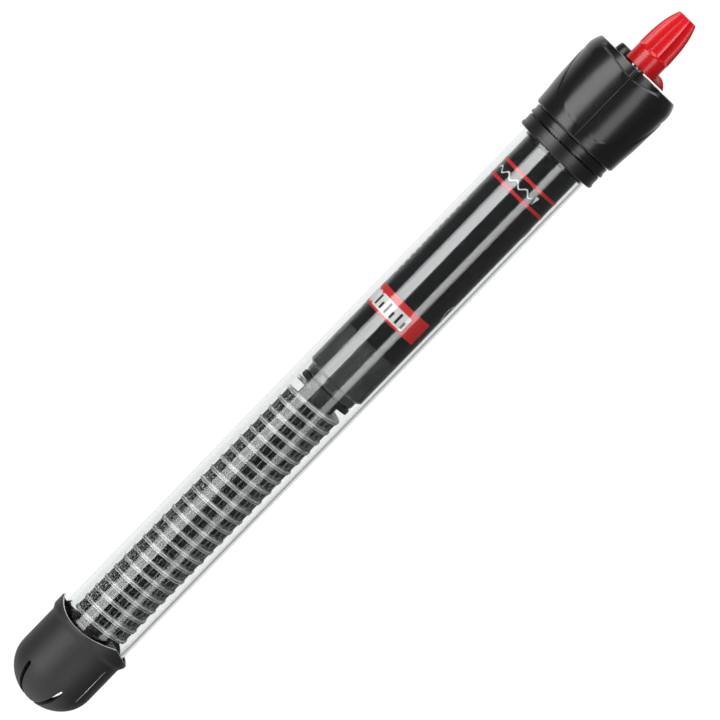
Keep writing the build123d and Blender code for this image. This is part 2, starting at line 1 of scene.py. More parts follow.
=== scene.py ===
"""Looks of a submersible aquarium heater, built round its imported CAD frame.

Sizes are in millimetres in the classes' fields and become metres in the meshes. Heights are counted
from the end cap's tip; angles round the tube are counted from the front, positive towards +X.
"""

import json
import logging
from dataclasses import dataclass, field
from enum import Enum
from math import asin, atan2, ceil, cos, degrees, hypot, pi, radians, sin, sqrt, tau
from typing import Iterable, Optional, Sequence

import bmesh
import bpy
from mathutils import Matrix, Vector

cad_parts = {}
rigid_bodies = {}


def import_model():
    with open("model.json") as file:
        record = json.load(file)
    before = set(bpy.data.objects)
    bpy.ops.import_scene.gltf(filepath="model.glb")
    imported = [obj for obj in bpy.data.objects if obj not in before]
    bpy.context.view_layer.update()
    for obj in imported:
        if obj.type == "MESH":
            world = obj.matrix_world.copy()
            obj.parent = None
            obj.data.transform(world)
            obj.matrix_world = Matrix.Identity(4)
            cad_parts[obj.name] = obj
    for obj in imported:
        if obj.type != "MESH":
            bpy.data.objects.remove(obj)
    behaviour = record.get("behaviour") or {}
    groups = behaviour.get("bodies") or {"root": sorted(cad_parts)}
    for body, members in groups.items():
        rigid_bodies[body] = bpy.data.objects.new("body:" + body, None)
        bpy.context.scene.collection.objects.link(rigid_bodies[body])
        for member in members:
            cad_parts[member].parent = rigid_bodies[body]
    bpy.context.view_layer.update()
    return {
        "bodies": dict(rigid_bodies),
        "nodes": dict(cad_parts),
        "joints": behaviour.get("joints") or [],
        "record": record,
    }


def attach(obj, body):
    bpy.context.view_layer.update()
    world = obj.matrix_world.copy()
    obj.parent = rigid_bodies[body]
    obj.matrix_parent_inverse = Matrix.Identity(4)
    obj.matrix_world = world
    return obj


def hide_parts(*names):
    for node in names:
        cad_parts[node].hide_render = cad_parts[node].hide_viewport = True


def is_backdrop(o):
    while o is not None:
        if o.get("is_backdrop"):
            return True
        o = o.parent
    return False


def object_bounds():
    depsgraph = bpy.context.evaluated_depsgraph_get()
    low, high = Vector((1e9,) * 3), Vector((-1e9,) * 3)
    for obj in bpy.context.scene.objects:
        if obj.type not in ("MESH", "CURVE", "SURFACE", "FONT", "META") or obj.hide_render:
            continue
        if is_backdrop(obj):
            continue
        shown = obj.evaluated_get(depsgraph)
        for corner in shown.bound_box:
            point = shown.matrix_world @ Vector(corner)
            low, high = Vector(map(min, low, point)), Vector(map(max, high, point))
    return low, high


LOG = logging.getLogger("heater")
MM = 0.001
ORIGIN_HEIGHT = 132.7
RIDGE_ROOT = 0.06
BROAD_PATTERN = 14
PATTERN_LOW, PATTERN_HIGH = 0.3, 0.7
Point = tuple[float, float, float]
Corner = tuple[float, float]
Profile = Sequence[Corner]


# ------------------------------------------------------------------ small helpers
def level(height: float) -> float:
    """Height above the end cap's tip, in millimetres, as z in metres."""
    return (height - ORIGIN_HEIGHT) * MM


def around(radius: float, front_deg: float, height: float) -> Point:
    """A point on a circle round the tube's axis.

    Args:
        radius: distance from the axis, in millimetres.
        front_deg: angle from the front, positive towards +X.
        height: height above the end cap's tip, in millimetres.

    Returns:
        The point in metres.
    """
    turn = radians(front_deg)
    return (radius * sin(turn) * MM, -radius * cos(turn) * MM, level(height))


def linear(hex_colour: str) -> tuple[float, float, float, float]:
    """An sRGB hex colour as linear RGBA."""
    parts = [int(hex_colour[i : i + 2], 16) / 255 for i in (1, 3, 5)]
    straight = [c / 12.92 if c <= 0.04045 else ((c + 0.055) / 1.055) ** 2.4 for c in parts]
    return (straight[0], straight[1], straight[2], 1.0)


def smooth_step(low: float, high: float, value: float) -> float:
    """0 below low, 1 above high, and a smooth rise between."""
    share = min(max((value - low) / (high - low), 0.0), 1.0)
    return share * share * (3 - 2 * share)


def add_node(
    tree: bpy.types.NodeTree,
    kind: str,
    settings: Optional[dict[str, object]] = None,
    values: Optional[dict[object, object]] = None,
    links: Optional[dict[object, bpy.types.NodeSocket]] = None,
) -> bpy.types.Node:
    """Adds one node with its settings and links.

    Args:
        tree: the tree it goes into.
        kind: the node's type name.
        settings: attributes of the node.
        values: input sockets, by name or index, and the values they hold.
        links: input sockets, by name or index, and the output sockets that feed them.

    Returns:
        The node.
    """
    node = tree.nodes.new(kind)
    for name, value in (settings or {}).items():
        setattr(node, name, value)
    for name, value in (values or {}).items():
        node.inputs[name].default_value = value
    for name, socket in (links or {}).items():
        tree.links.new(socket, node.inputs[name])
    return node


def placed(name: str, data: bpy.types.ID) -> bpy.types.Object:
    """A new object for the data, linked to the scene and left at the origin."""
    thing = bpy.data.objects.new(name, data)
    bpy.context.scene.collection.objects.link(thing)
    return thing


def maths(tree: bpy.types.NodeTree, operation: str, *terms: object) -> bpy.types.NodeSocket:
    """Adds one sum to a tree.

    Args:
        tree: the tree it goes into.
        operation: the sum's name.
        terms: numbers, or sockets that give them.

    Returns:
        The socket that gives the result.
    """
    links = {i: term for i, term in enumerate(terms) if isinstance(term, bpy.types.NodeSocket)}
    values = {i: term for i, term in enumerate(terms) if i not in links}
    return add_node(tree, "ShaderNodeMath", {"operation": operation}, values, links).outputs[0]


def mesh_object(name: str, points: Sequence[Point], faces: Sequence[Sequence[int]]) -> bpy.types.Object:
    """A mesh object at the origin, merged and with its faces pointing outwards.

    Args:
        name: the piece's name.
        points: vertices in metres.
        faces: vertex numbers of each face.

    Returns:
        The object, linked to the scene.
    """
    mesh = bpy.data.meshes.new(name)
    mesh.from_pydata(list(points), [], [list(f) for f in faces])
    work = bmesh.new()
    work.from_mesh(mesh)
    bmesh.ops.remove_doubles(work, verts=work.verts, dist=1e-7)
    bmesh.ops.recalc_face_normals(work, faces=work.faces)
    work.to_mesh(mesh)
    work.free()
    return placed(name, mesh)


def shade(piece: bpy.types.Object, crease_deg: float) -> bpy.types.Object:
    """Smooth shading that stays sharp over steep edges.

    Args:
        piece: the piece to shade.
        crease_deg: edges steeper than this stay sharp.

    Returns:
        The same piece.
    """
    mesh = piece.data
    mesh.polygons.foreach_set("use_smooth", [True] * len(mesh.polygons))
    work = bmesh.new()
    work.from_mesh(mesh)
    limit = radians(crease_deg)
    for edge in work.edges:
        edge.smooth = len(edge.link_faces) != 2 or edge.calc_face_angle(0.0) < limit
    work.to_mesh(mesh)
    work.free()
    return piece


def skin(rings: Sequence[Sequence[int]], steps: int) -> list[list[int]]:
    """Faces between neighbouring rings of vertices.

    Args:
        rings: vertex numbers of each ring; a ring of one is a pole.
        steps: how many faces lie between two rings.

    Returns:
        Vertex numbers of each face, three where it ends in a pole.
    """
    faces = []
    for here, there in zip(rings, rings[1:]):
        for i in range(steps):
            quad = [here[i % len(here)], here[(i + 1) % len(here)]]
            quad += [there[(i + 1) % len(there)], there[i % len(there)]]
            corners = list(dict.fromkeys(quad))
            if len(corners) > 2:
                faces.append(corners)
    return faces


def turned(name: str, outline: Profile, steps: int) -> bpy.types.Object:
    """A closed outline swept round the axis.

    Args:
        name: the piece's name.
        outline: (radius, height) of each corner, in millimetres.
        steps: how many faces go round.

    Returns:
        The piece, closed.
    """
    points: list[Point] = []
    rings: list[list[int]] = []
    for radius, height in outline:
        count = 1 if radius < 1e-6 else steps
        rings.append(list(range(len(points), len(points) + count)))
        points += [around(radius, 360 * i / count, height) for i in range(count)]
    return mesh_object(name, points, skin(rings + rings[:1], steps))


def arc(centre: Corner, radius: float, start: float, end: float, steps: int) -> list[Corner]:
    """Points of an arc in an outline's plane.

    Args:
        centre: (radius, height) of its centre.
        radius: its own radius, in millimetres.
        start: angle where it starts, in degrees from the outward radius.
        end: angle where it ends.
        steps: how many runs it is split into.

    Returns:
        The points, both ends included.
    """
    turns = [radians(start + (end - start) * i / steps) for i in range(steps + 1)]
    return [(centre[0] + radius * cos(t), centre[1] + radius * sin(t)) for t in turns]


def ridges(
    name: str, starts: Sequence[float], spread: float, spine: Sequence[tuple[float, float, float]]
) -> bpy.types.Object:
    """Thin raised lines that run up a round surface, each a closed three-sided bar.

    Args:
        name: the piece's name.
        starts: the front angle of each line.
        spread: half the line's width, in degrees.
        spine: height, surface radius and rise at each step.

    Returns:
        The lines as one piece.
    """
    points: list[Point] = []
    faces: list[list[int]] = []
    for at in starts:
        base = len(points)
        for height, radius, rise in spine:
            for off, out in ((-spread, -RIDGE_ROOT), (0.0, rise), (spread, -RIDGE_ROOT)):
                points.append(around(radius + out, at + off, height))
        last = base + 3 * (len(spine) - 1)
        faces += [[base, base + 1, base + 2], [last, last + 1, last + 2]]
        for i in range(len(spine) - 1):
            low = base + 3 * i
            faces += [[low + j, low + (j + 1) % 3, low + 3 + (j + 1) % 3, low + 3 + j] for j in range(3)]
    return shade(mesh_object(name, points, faces), 80)


def baked(piece: bpy.types.Object) -> bpy.types.Object:
    """Applies a piece's modifiers to its mesh.

    Args:
        piece: the piece.

    Returns:
        The same piece, with a plain mesh.
    """
    graph = bpy.context.evaluated_depsgraph_get()
    mesh = bpy.data.meshes.new_from_object(piece.evaluated_get(graph))
    piece.modifiers.clear()
    old, piece.data = piece.data, mesh
    mesh.name = piece.name
    bpy.data.meshes.remove(old)
    return piece


def softened(piece: bpy.types.Object, width: float, angle_deg: float) -> bpy.types.Object:
    """Rounds a piece's sharp edges.

    Args:
        piece: the piece.
        width: how wide each rounding is, in millimetres.
        angle_deg: edges flatter than this are left alone.

    Returns:
        The same piece.
    """
    soften = piece.modifiers.new("edges", "BEVEL")
    soften.width = width * MM
    soften.segments = 2
    soften.limit_method = "ANGLE"
    soften.angle_limit = radians(angle_deg)
    return baked(piece)


def carved(piece: bpy.types.Object, cutters: Sequence[bpy.types.Object], crossing: bool) -> bpy.types.Object:
    """Cuts shapes out of a piece and removes them.

    Args:
        piece: the piece.
        cutters: closed cutting shapes.
        crossing: whether a cutter's own shells cross one another.

    Returns:
        The same piece.
    """
    for cutter in cutters:
        cut = piece.modifiers.new(cutter.name, "BOOLEAN")
        cut.object = cutter
        cut.solver = "EXACT"
        cut.use_self = crossing
    baked(piece)
    for cutter in cutters:
        bpy.data.objects.remove(cutter)
    return piece


def dress(piece: bpy.types.Object, finish: "Finish", body: str, slot: str, *nodes: str) -> bpy.types.Object:
    """Gives a piece its material and its body, hides the CAD nodes it stands for and logs it.

    Args:
        piece: the piece.
        finish: what it is made of.
        body: the body that carries it.
        slot: the record's material slot; not used.
        nodes: the CAD nodes that it stands for.

    Returns:
        The same piece.
    """
    piece.data.materials.clear()
    piece.data.materials.append(finish.build())
    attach(piece, body)
    if nodes:
        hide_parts(*nodes)
    LOG.info("%s rides %s, %d faces", piece.name, body, len(piece.data.polygons))
    return piece


# ------------------------------------------------------------------ finishes
class Texture(Enum):
    """How a surface was made, which settles its pattern."""

    MOULDED = "moulded"
    DRAWN = "drawn"
    TURNED = "turned"
    FIRED = "fired"
    FELTED = "felted"
    CLEAR = "clear"


@dataclass(frozen=True)
class Finish:
    """One material: its colours, its gloss and the pattern its making leaves."""

    name: str
    colour: str
    shade: str
    texture: Texture
    roughness: float
    grain_mm: float = 0.4
    relief_mm: float = 0.004
    metallic: float = 0.0
    ior: float = 1.5
    coat: float = 0.0
    transmission: float = 0.0
    sheen: float = 0.0
    subsurface: float = 0.0

    def stretch(self) -> tuple[float, float, float]:
        """How the pattern is drawn out along x, y and z."""
        if self.texture in (Texture.DRAWN, Texture.CLEAR):
            return (1.0, 1.0, 0.05)
        if self.texture is Texture.TURNED:
            return (0.05, 0.05, 1.0)
        return (1.0, 1.0, 1.0)

    def build(self) -> bpy.types.Material:
        """The material, made once and reused.

        Returns:
            The material with its node tree.
        """
        made = bpy.data.materials.get(self.name)
        if made:
            return made
        material = bpy.data.materials.new(self.name)
        material.use_nodes = True
        tree = material.node_tree
        tree.nodes.clear()
        links = {"Vector": add_node(tree, "ShaderNodeTexCoord").outputs["Object"]}
        spread = add_node(tree, "ShaderNodeMapping", {}, {"Scale": self.stretch()}, links)
        along = {"Vector": spread.outputs[0]}
        values = {"Scale": 1 / (self.grain_mm * MM), "Detail": 4.0, "Roughness": 0.6}
        fine = add_node(tree, "ShaderNodeTexNoise", {}, values, along).outputs["Fac"]
        values = {"Scale": 1 / (self.grain_mm * BROAD_PATTERN * MM), "Detail": 3.0, "Roughness": 0.5}
        broad = add_node(tree, "ShaderNodeTexNoise", {}, values, along).outputs["Fac"]
        tone = add_node(tree, "ShaderNodeValToRGB", {}, {}, {"Fac": broad})
        stops = ((PATTERN_LOW, self.shade), (PATTERN_HIGH, self.colour))
        for stop, (position, colour) in zip(tone.color_ramp.elements, stops):
            stop.position = position
            stop.color = linear(colour)
        values = {"From Min": PATTERN_LOW, "From Max": PATTERN_HIGH}
        values |= {"To Min": self.roughness * 0.85, "To Max": min(self.roughness * 1.15, 1.0)}
        gloss = add_node(tree, "ShaderNodeMapRange", {}, values, {"Value": fine})
        values = {"Strength": 1.0, "Distance": self.relief_mm * MM}
        relief = add_node(tree, "ShaderNodeBump", {}, values, {"Height": fine})
        values = {
            "Metallic": self.metallic,
            "Coat Weight": self.coat,
            "Coat Roughness": 0.05,
            "Transmission Weight": self.transmission,
            "Sheen Weight": self.sheen,
            "Subsurface Weight": self.subsurface,
            "Subsurface Radius": (0.6 * MM, 0.2 * MM, 0.2 * MM),
        }
        if not self.metallic:
            values["IOR"] = self.ior
        links = {"Base Color": tone.outputs["Color"], "Roughness": gloss.outputs[0]}
        if self.texture is not Texture.CLEAR:
            links["Normal"] = relief.outputs["Normal"]
        shader = add_node(tree, "ShaderNodeBsdfPrincipled", {}, values, links)
        add_node(tree, "ShaderNodeOutputMaterial", {}, {}, {"Surface": shader.outputs[0]})
        return material


# Drawn borosilicate tube: colourless, mirror-smooth, bright lines where its wall turns away.
GLASS = Finish(
    "borosilicate_tube_drawn", "#fdfefe", "#f8fbfb", Texture.CLEAR, 0.012, ior=1.47, transmission=1.0
)
# Polypropylene moulded in a spark-eroded tool: even, soft and slightly grey.
CAP_MATT = Finish("polypropylene_moulded_matt", "#171716", "#141413", Texture.MOULDED, 0.55, 0.35, 0.006)
# Pale grey painted highlight for the cap's rim and mould lines, where light catches their edges.
CAP_PAINTED_HIGHLIGHT = Finish("cap_edge_painted_highlight", "#c2c2bd", "#a9a9a4", Texture.MOULDED, 0.22, 0.3, 0.002)
# ABS moulded in a polished tool: satin black with a clear edge to each highlight.
HEAD_SATIN = Finish("abs_moulded_satin_black", "#0e0e0f", "#0b0b0c", Texture.MOULDED, 0.24, 0.6, 0.0004)
# Where the two halves of the head's mould met: ABS with a grey painted highlight along a hairline.
SEAM_PAINTED_HIGHLIGHT = Finish("abs_parting_line_painted_highlight", "#4c4c4a", "#393938", Texture.MOULDED, 0.26, 0.3, 0.002)
# ABS moulded in a polished tool: saturated red, a little light let in at the ridges.
KNOB_RED = Finish(
    "abs_moulded_gloss_red", "#c30d16", "#b40a12", Texture.MOULDED, 0.25, 0.6, 0.0003, subsurface=0.05
)
# Moulded EPDM: black, duller than the plastic beside it.
RUBBER = Finish("epdm_rubber_moulded", "#101011", "#0d0d0e", Texture.MOULDED, 0.34, 0.4, 0.001)
# Fired steatite: pale grey, dry, with darker scorched patches.
STEATITE = Finish("steatite_fired_pale", "#dcdcd8", "#a3a5a4", Texture.FIRED, 0.38, 0.3, 0.01)
# Steatite between the rib's turns: mid grey and duller, as painted shade of the recess.
STEATITE_MID_PAINTED_SHADE = Finish("steatite_mid_painted_shade", "#8b8e90", "#5c5f61", Texture.FIRED, 0.5, 0.3, 0.01)
# The same ceramic under the winding, near black as painted shade of the recess.
STEATITE_NEAR_BLACK_PAINTED_SHADE = Finish("steatite_near_black_painted_shade", "#1f2023", "#121315", Texture.FIRED, 0.5, 0.3, 0.01)
# Drawn resistance wire, oxidised in use.
WIRE = Finish("resistance_wire_drawn", "#74767a", "#3a3b3e", Texture.DRAWN, 0.45, 0.2, 0.002, metallic=1.0)
# Zinc-plated sheet and rod.
STEEL = Finish("steel_zinc_plated", "#b9bcc0", "#a2a6ab", Texture.DRAWN, 0.34, 0.4, 0.002, metallic=1.0)
# Rolled thermostat bimetal, slightly warm in colour.
BIMETAL = Finish("bimetal_strip_rolled", "#a89b8c", "#8f8475", Texture.DRAWN, 0.32, 0.3, 0.002, metallic=1.0)
# Brass turned on a lathe.
BRASS = Finish("brass_turned", "#cfa75a", "#b98f45", Texture.TURNED, 0.28, 0.3, 0.002, metallic=1.0)
# Silver contact faces, polished by switching.
SILVER = Finish(
    "silver_contact_polished", "#e4e2dc", "#cfccc4", Texture.TURNED, 0.2, 0.2, 0.001, metallic=1.0
)
# Glossy black film rolled into a sleeve.
FILM = Finish("polyester_film_black_gloss", "#1a1a1d", "#161618", Texture.MOULDED, 0.1, 1.2, 0.001, coat=0.5)
# Smoky polycarbonate holder.
HOLDER = Finish(
    "polycarbonate_moulded_grey", "#4a4a4b", "#3d3d3e", Texture.MOULDED, 0.2, 0.6, 0.001, coat=0.3
)
# Clear red polycarbonate in front of the lamp.
WINDOW = Finish("polycarbonate_clear_red", "#e01010", "#cc0c0c", Texture.CLEAR, 0.05, transmission=0.4)
# Thin lamp glass.
LAMP = Finish("lamp_glass_blown", "#ffe2cc", "#ffd9bd", Texture.CLEAR, 0.02, transmission=0.85)
# Lacquered resistor body.
LACQUER = Finish("resistor_lacquer_dipped", "#c8a887", "#b5936f", Texture.MOULDED, 0.4, 0.3, 0.003)
# Epoxy-dipped capacitor.
EPOXY = Finish("capacitor_epoxy_dipped", "#c8912a", "#b47c1c", Texture.MOULDED, 0.3, 0.5, 0.003)
# Silicone wire sleeving.
SILICONE_RED = Finish("silicone_extruded_red", "#b5202a", "#a51a24", Texture.DRAWN, 0.45, 0.4, 0.002)
SILICONE_WHITE = Finish("silicone_extruded_white", "#dcdcd6", "#cbcbc4", Texture.DRAWN, 0.45, 0.4, 0.002)
# Sintered magnet.
MAGNET = Finish("ferrite_sintered", "#4b4b4f", "#3a3a3e", Texture.FIRED, 0.5, 0.2, 0.004)
# Felted ceramic wool: matt white with soft shadows between fibres.
WOOL = Finish("ceramic_wool_felted", "#eceae4", "#cfcdc5", Texture.FELTED, 0.9, 0.25, 0.05, sheen=0.3)
# Screen-printed inks on the sleeve.
INK_RED = Finish("screen_ink_red", "#e0252a", "#d81f25", Texture.MOULDED, 0.35, 0.3, 0.001)
INK_WHITE = Finish("screen_ink_white", "#f1f1ee", "#e6e6e2", Texture.MOULDED, 0.35, 0.3, 0.001)
INK_BLACK = Finish("screen_ink_black", "#161618", "#121214", Texture.MOULDED, 0.35, 0.3, 0.001)
# Pale seamless paper under the object.
PAPER = Finish("studio_paper_rolled", "#fdfdfd", "#fafafa", Texture.FELTED, 0.9, 2.0, 0.001)

SLOT_FINISH: dict[str, Finish] = {
    "borosilicate_glass": GLASS,
    "cap_plastic": CAP_MATT,
    "head_plastic": HEAD_SATIN,
    "knob_plastic": KNOB_RED,
    "black_rubber": RUBBER,
    "ceramic": STEATITE,
    # The core under the winding takes the near-black painted shade.
    "dark_ceramic": STEATITE_NEAR_BLACK_PAINTED_SHADE,
    "resistance_wire": WIRE,
    "steel": STEEL,
    "bimetal": BIMETAL,
    "brass": BRASS,
    "silver": SILVER,
    "sleeve_film": FILM,
    "grey_holder": HOLDER,
    "red_window": WINDOW,
    "lamp_glass": LAMP,
    "resistor_body": LACQUER,
    "capacitor_body": EPOXY,
    "wire_red": SILICONE_RED,
    "wire_white": SILICONE_WHITE,
    "magnet_grey": MAGNET,
    "ceramic_wool": WOOL,
}

# End plates drawn in the same near-black painted shade as the core under the winding.
DARK_NODES = ("element_lower_disc", "element_upper_disc")


# ------------------------------------------------------------------ geometry nodes
@dataclass
class NodeTool:
    """A geometry node tree with named inputs, run once on an empty mesh."""

    name: str
    inputs: dict[str, float] = field(default_factory=dict)

    def open(self) -> tuple[bpy.types.NodeTree, bpy.types.Node]:
        """Starts the tree.

        Returns:
            The tree and its group input node.
        """
        tree = bpy.data.node_groups.new(self.name, "GeometryNodeTree")
        tree.interface.new_socket("Geometry", in_out="INPUT", socket_type="NodeSocketGeometry")
        for name, value in self.inputs.items():
            socket = tree.interface.new_socket(name, in_out="INPUT", socket_type="NodeSocketFloat")
            socket.default_value = value
        tree.interface.new_socket("Geometry", in_out="OUTPUT", socket_type="NodeSocketGeometry")
        return tree, add_node(tree, "NodeGroupInput")

    def run(
        self, tree: bpy.types.NodeTree, geometry: bpy.types.NodeSocket, finish: Finish
    ) -> bpy.types.Object:
        """Ends the tree in Realize Instances and Set Material, and runs it on an empty mesh.

        Args:
            tree: the tree.
            geometry: the socket that gives its shape.
            finish: what the shape is made of.

        Returns:
            A plain mesh object, with no modifier left on it.
        """
        solid = add_node(tree, "GeometryNodeRealizeInstances", {}, {}, {0: geometry}).outputs[0]
        values = {"Material": finish.build()}
        painted = add_node(tree, "GeometryNodeSetMaterial", {}, values, {"Geometry": solid})
        add_node(tree, "NodeGroupOutput", {}, {}, {0: painted.outputs[0]})
        piece = mesh_object(self.name, [], [])
        modifier = piece.modifiers.new("shape", "NODES")
        modifier.node_group = tree
        for item in tree.interface.items_tree:
            if item.in_out == "INPUT" and item.name in self.inputs:
                modifier[item.identifier] = float(self.inputs[item.name])
        return baked(piece)


# ------------------------------------------------------------------ glass
@dataclass
class Tube:
    """The glass: round closed end, long straight wall, flared mouth."""

    radius: float = 12.5
    wall: float = 1.1
    dome: float = 12.2
    bottom: float = 11.0
    straight_from: float = 32.0
    straight_to: float = 233.4
    lip_radius: float = 13.0
    lip_from: float = 238.4
    top: float = 240.0

    def build(self) -> bpy.types.Object:
        """The tube as one closed skin with a fire-polished mouth.

        Returns:
            The piece.
        """
        centre = self.bottom + self.dome
        thin = self.wall / 2
        outside = arc((0, centre), self.dome, -90, 0, 24)
        outside += [(self.radius, self.straight_from), (self.radius, self.straight_to)]
        outside += [(self.lip_radius, self.lip_from), (self.lip_radius, self.top - thin)]
        rim = arc((self.lip_radius - thin, self.top - thin), thin, 0, 180, 8)
        inside = [(self.lip_radius - self.wall, self.lip_from), (self.radius - self.wall, self.straight_to)]
        inside += [(self.radius - self.wall, self.straight_from)]
        inside += arc((0, centre), self.dome - self.wall, 0, -90, 24)
        outline = outside + rim[1:] + inside
        piece = shade(turned("tube_glass", outline, 192), 50)
        return dress(piece, GLASS, "heater_body", "borosilicate_glass", "glass_tube")


# ------------------------------------------------------------------ end cap
@dataclass
class Guard:
    """The slotted cap over the closed end."""

    radius: float = 13.9
    wall: float = 1.1
    dome: float = 12.3
    flare_from: float = 25.4
    flare_to: float = 27.4
    rim_radius: float = 14.8
    rim_top: float = 31.6
    rim_wall: float = 0.7
    waves: int = 3
    dip: float = 3.3
    dip_at: float = -21.0
    slots: int = 6
    slot_width: float = 1.5
    slot_top: float = 10.7
    slot_at: float = 27.0
    drain: float = 3.2
    line_from: float = 10.6
    line_length: float = 13.2
    line_rise: float = 0.11
    lines_at: tuple[float, float] = (55.0, 235.0)

    def outline(self) -> list[Corner]:
        """Outer skin up, round the rim, and inner skin down.

        Returns:
            (radius, height) of each corner.
        """
        half = self.rim_wall / 2
        steps = 18
        outside = []
        for i in range(steps + 1):
            turn = pi / 2 * i / steps
            outside.append((self.radius * sin(turn), self.dome * (1 - cos(turn))))
        outside += [(self.radius, self.flare_from), (self.radius + 0.15, self.flare_from + 0.5)]
        outside += [(self.rim_radius - 0.15, self.flare_to - 0.4), (self.rim_radius, self.flare_to)]
        outside += [(self.rim_radius, self.flare_to + i) for i in (1.0, 2.0, 3.0)]
        outside += arc((self.rim_radius - half, self.rim_top - half), half, 0, 180, 8)
        inner_rim = self.rim_radius - self.rim_wall
        inner = self.radius - self.wall
        inside = [(inner_rim, self.flare_to + i) for i in (3.0, 2.0, 1.0, 0.4)]
        inside += [(inner, self.flare_from + 0.4)]
        for i in range(steps + 1):
            turn = pi / 2 * (1 - i / steps)
            inside.append((inner * sin(turn), self.dome - (self.dome - self.wall) * cos(turn)))
        return outside + inside

    def lowered(self, turn_deg: float, height: float) -> float:
        """Height of a rim point once the rim's waves are cut.

        Args:
            turn_deg: its angle from the front.
            height: its height on a level rim.

        Returns:
            The lowered height.
        """
        span = 180 / self.waves
        off = (turn_deg - self.dip_at + span) % (2 * span) - span
        reach = self.rim_radius * sin(radians(span))
        curve = (reach**2 + self.dip**2) / (2 * self.dip)
        side = self.rim_radius * sin(radians(off))
        drop = self.dip - (curve - sqrt(max(curve**2 - side**2, 0.0)))
        share = smooth_step(self.flare_to, self.rim_top - self.rim_wall, height)
        return height - max(drop, 0.0) * share

    def cutter(self) -> bpy.types.Object:
        """All slots and the drain hole as one cutting shape.

        Returns:
            The cutting shape.
        """
        work = bmesh.new()
        half = self.slot_width / 2
        top = self.slot_top - half
        for index in range(self.slots):
            turn = radians(self.slot_at + index * 360 / self.slots)
            loop = [(-half, -2.0), (half, -2.0)] + [
                (half * cos(radians(a)), top + half * sin(radians(a))) for a in range(0, 181, 15)
            ]
            rows = []
            for reach in (1.0, self.radius + 2):
                row = []
                for side, height in loop:
                    x = reach * sin(turn) + side * cos(turn)
                    y = -reach * cos(turn) + side * sin(turn)
                    row.append(work.verts.new((x * MM, y * MM, level(height))))
                rows.append(row)
            count = len(loop)
            for i in range(count):
                work.faces.new([rows[0][i], rows[0][(i + 1) % count], rows[1][(i + 1) % count], rows[1][i]])
            work.faces.new(rows[0])
            work.faces.new(rows[1])
        bmesh.ops.create_cone(
            work,
            cap_ends=True,
            segments=64,
            radius1=self.drain * MM,
            radius2=self.drain * MM,
            depth=8 * MM,
            matrix=Matrix.Translation((0, 0, level(0.0))),
        )
        bmesh.ops.recalc_face_normals(work, faces=work.faces)
        mesh = bpy.data.meshes.new("cap_cutter")
        work.to_mesh(mesh)
        work.free()
        return placed("cap_cutter", mesh)

    def build(self) -> bpy.types.Object:
        """The guard, slotted and softened at its edges.

        Returns:
            The piece.
        """
        piece = turned("cap_guard", self.outline(), 240)
        for vertex in piece.data.vertices:
            x, y, z = vertex.co
            height = z / MM + ORIGIN_HEIGHT
            if height > self.flare_to:
                turn = degrees(atan2(x, -y))
                vertex.co.z = level(self.lowered(turn, height))
        carved(piece, [self.cutter()], True)
        shade(softened(piece, 0.16, 40), 40)
        return dress(piece, CAP_MATT, "end_guard", "cap_plastic", "end_cap")

    def build_lip_line(self) -> bpy.types.Object:
        """The thin raised strip round the rim's top, over its waves, coloured pale as a painted highlight.

        Returns:
            The piece.
        """
        points: list[Point] = []
        faces: list[list[int]] = []
        steps = 240
        middle = self.rim_radius - self.rim_wall / 2
        for i in range(steps):
            turn = 360 * i / steps
            height = self.lowered(turn, self.rim_top)
            for off, rise in ((-0.2, -0.02), (-0.12, 0.045), (0.12, 0.045), (0.2, -0.02)):
                points.append(around(middle + off, turn, height + rise))
        for i in range(steps):
            j = (i + 1) % steps
            faces += [[4 * i + k, 4 * i + k + 1, 4 * j + k + 1, 4 * j + k] for k in range(3)]
            faces.append([4 * i + 3, 4 * i, 4 * j, 4 * j + 3])
        # The strip's pale colour is a painted highlight along the rim's edge.
        piece = shade(mesh_object("cap_rim_painted_highlight", points, faces), 60)
        return dress(piece, CAP_PAINTED_HIGHLIGHT, "end_guard", "cap_plastic")

    def build_mould_lines(self) -> bpy.types.Object:
        """The two raised lines where the mould's halves met, coloured pale as a painted highlight.

        Returns:
            The piece.
        """
        spine = []
        rows = 14
        for i in range(rows + 1):
            height = self.line_from + self.line_length * i / rows
            drop = max(self.dome - height, 0.0) / self.dome
            rise = self.line_rise * sin(pi * (i + 0.5) / (rows + 1)) ** 0.5
            spine.append((height, self.radius * sqrt(1 - drop**2), rise))
        # The lines' pale colour is a painted highlight on the raised ridges.
        piece = ridges("cap_mould_lines", self.lines_at, 0.8, spine)
        return dress(piece, CAP_PAINTED_HIGHLIGHT, "end_guard", "cap_plastic")


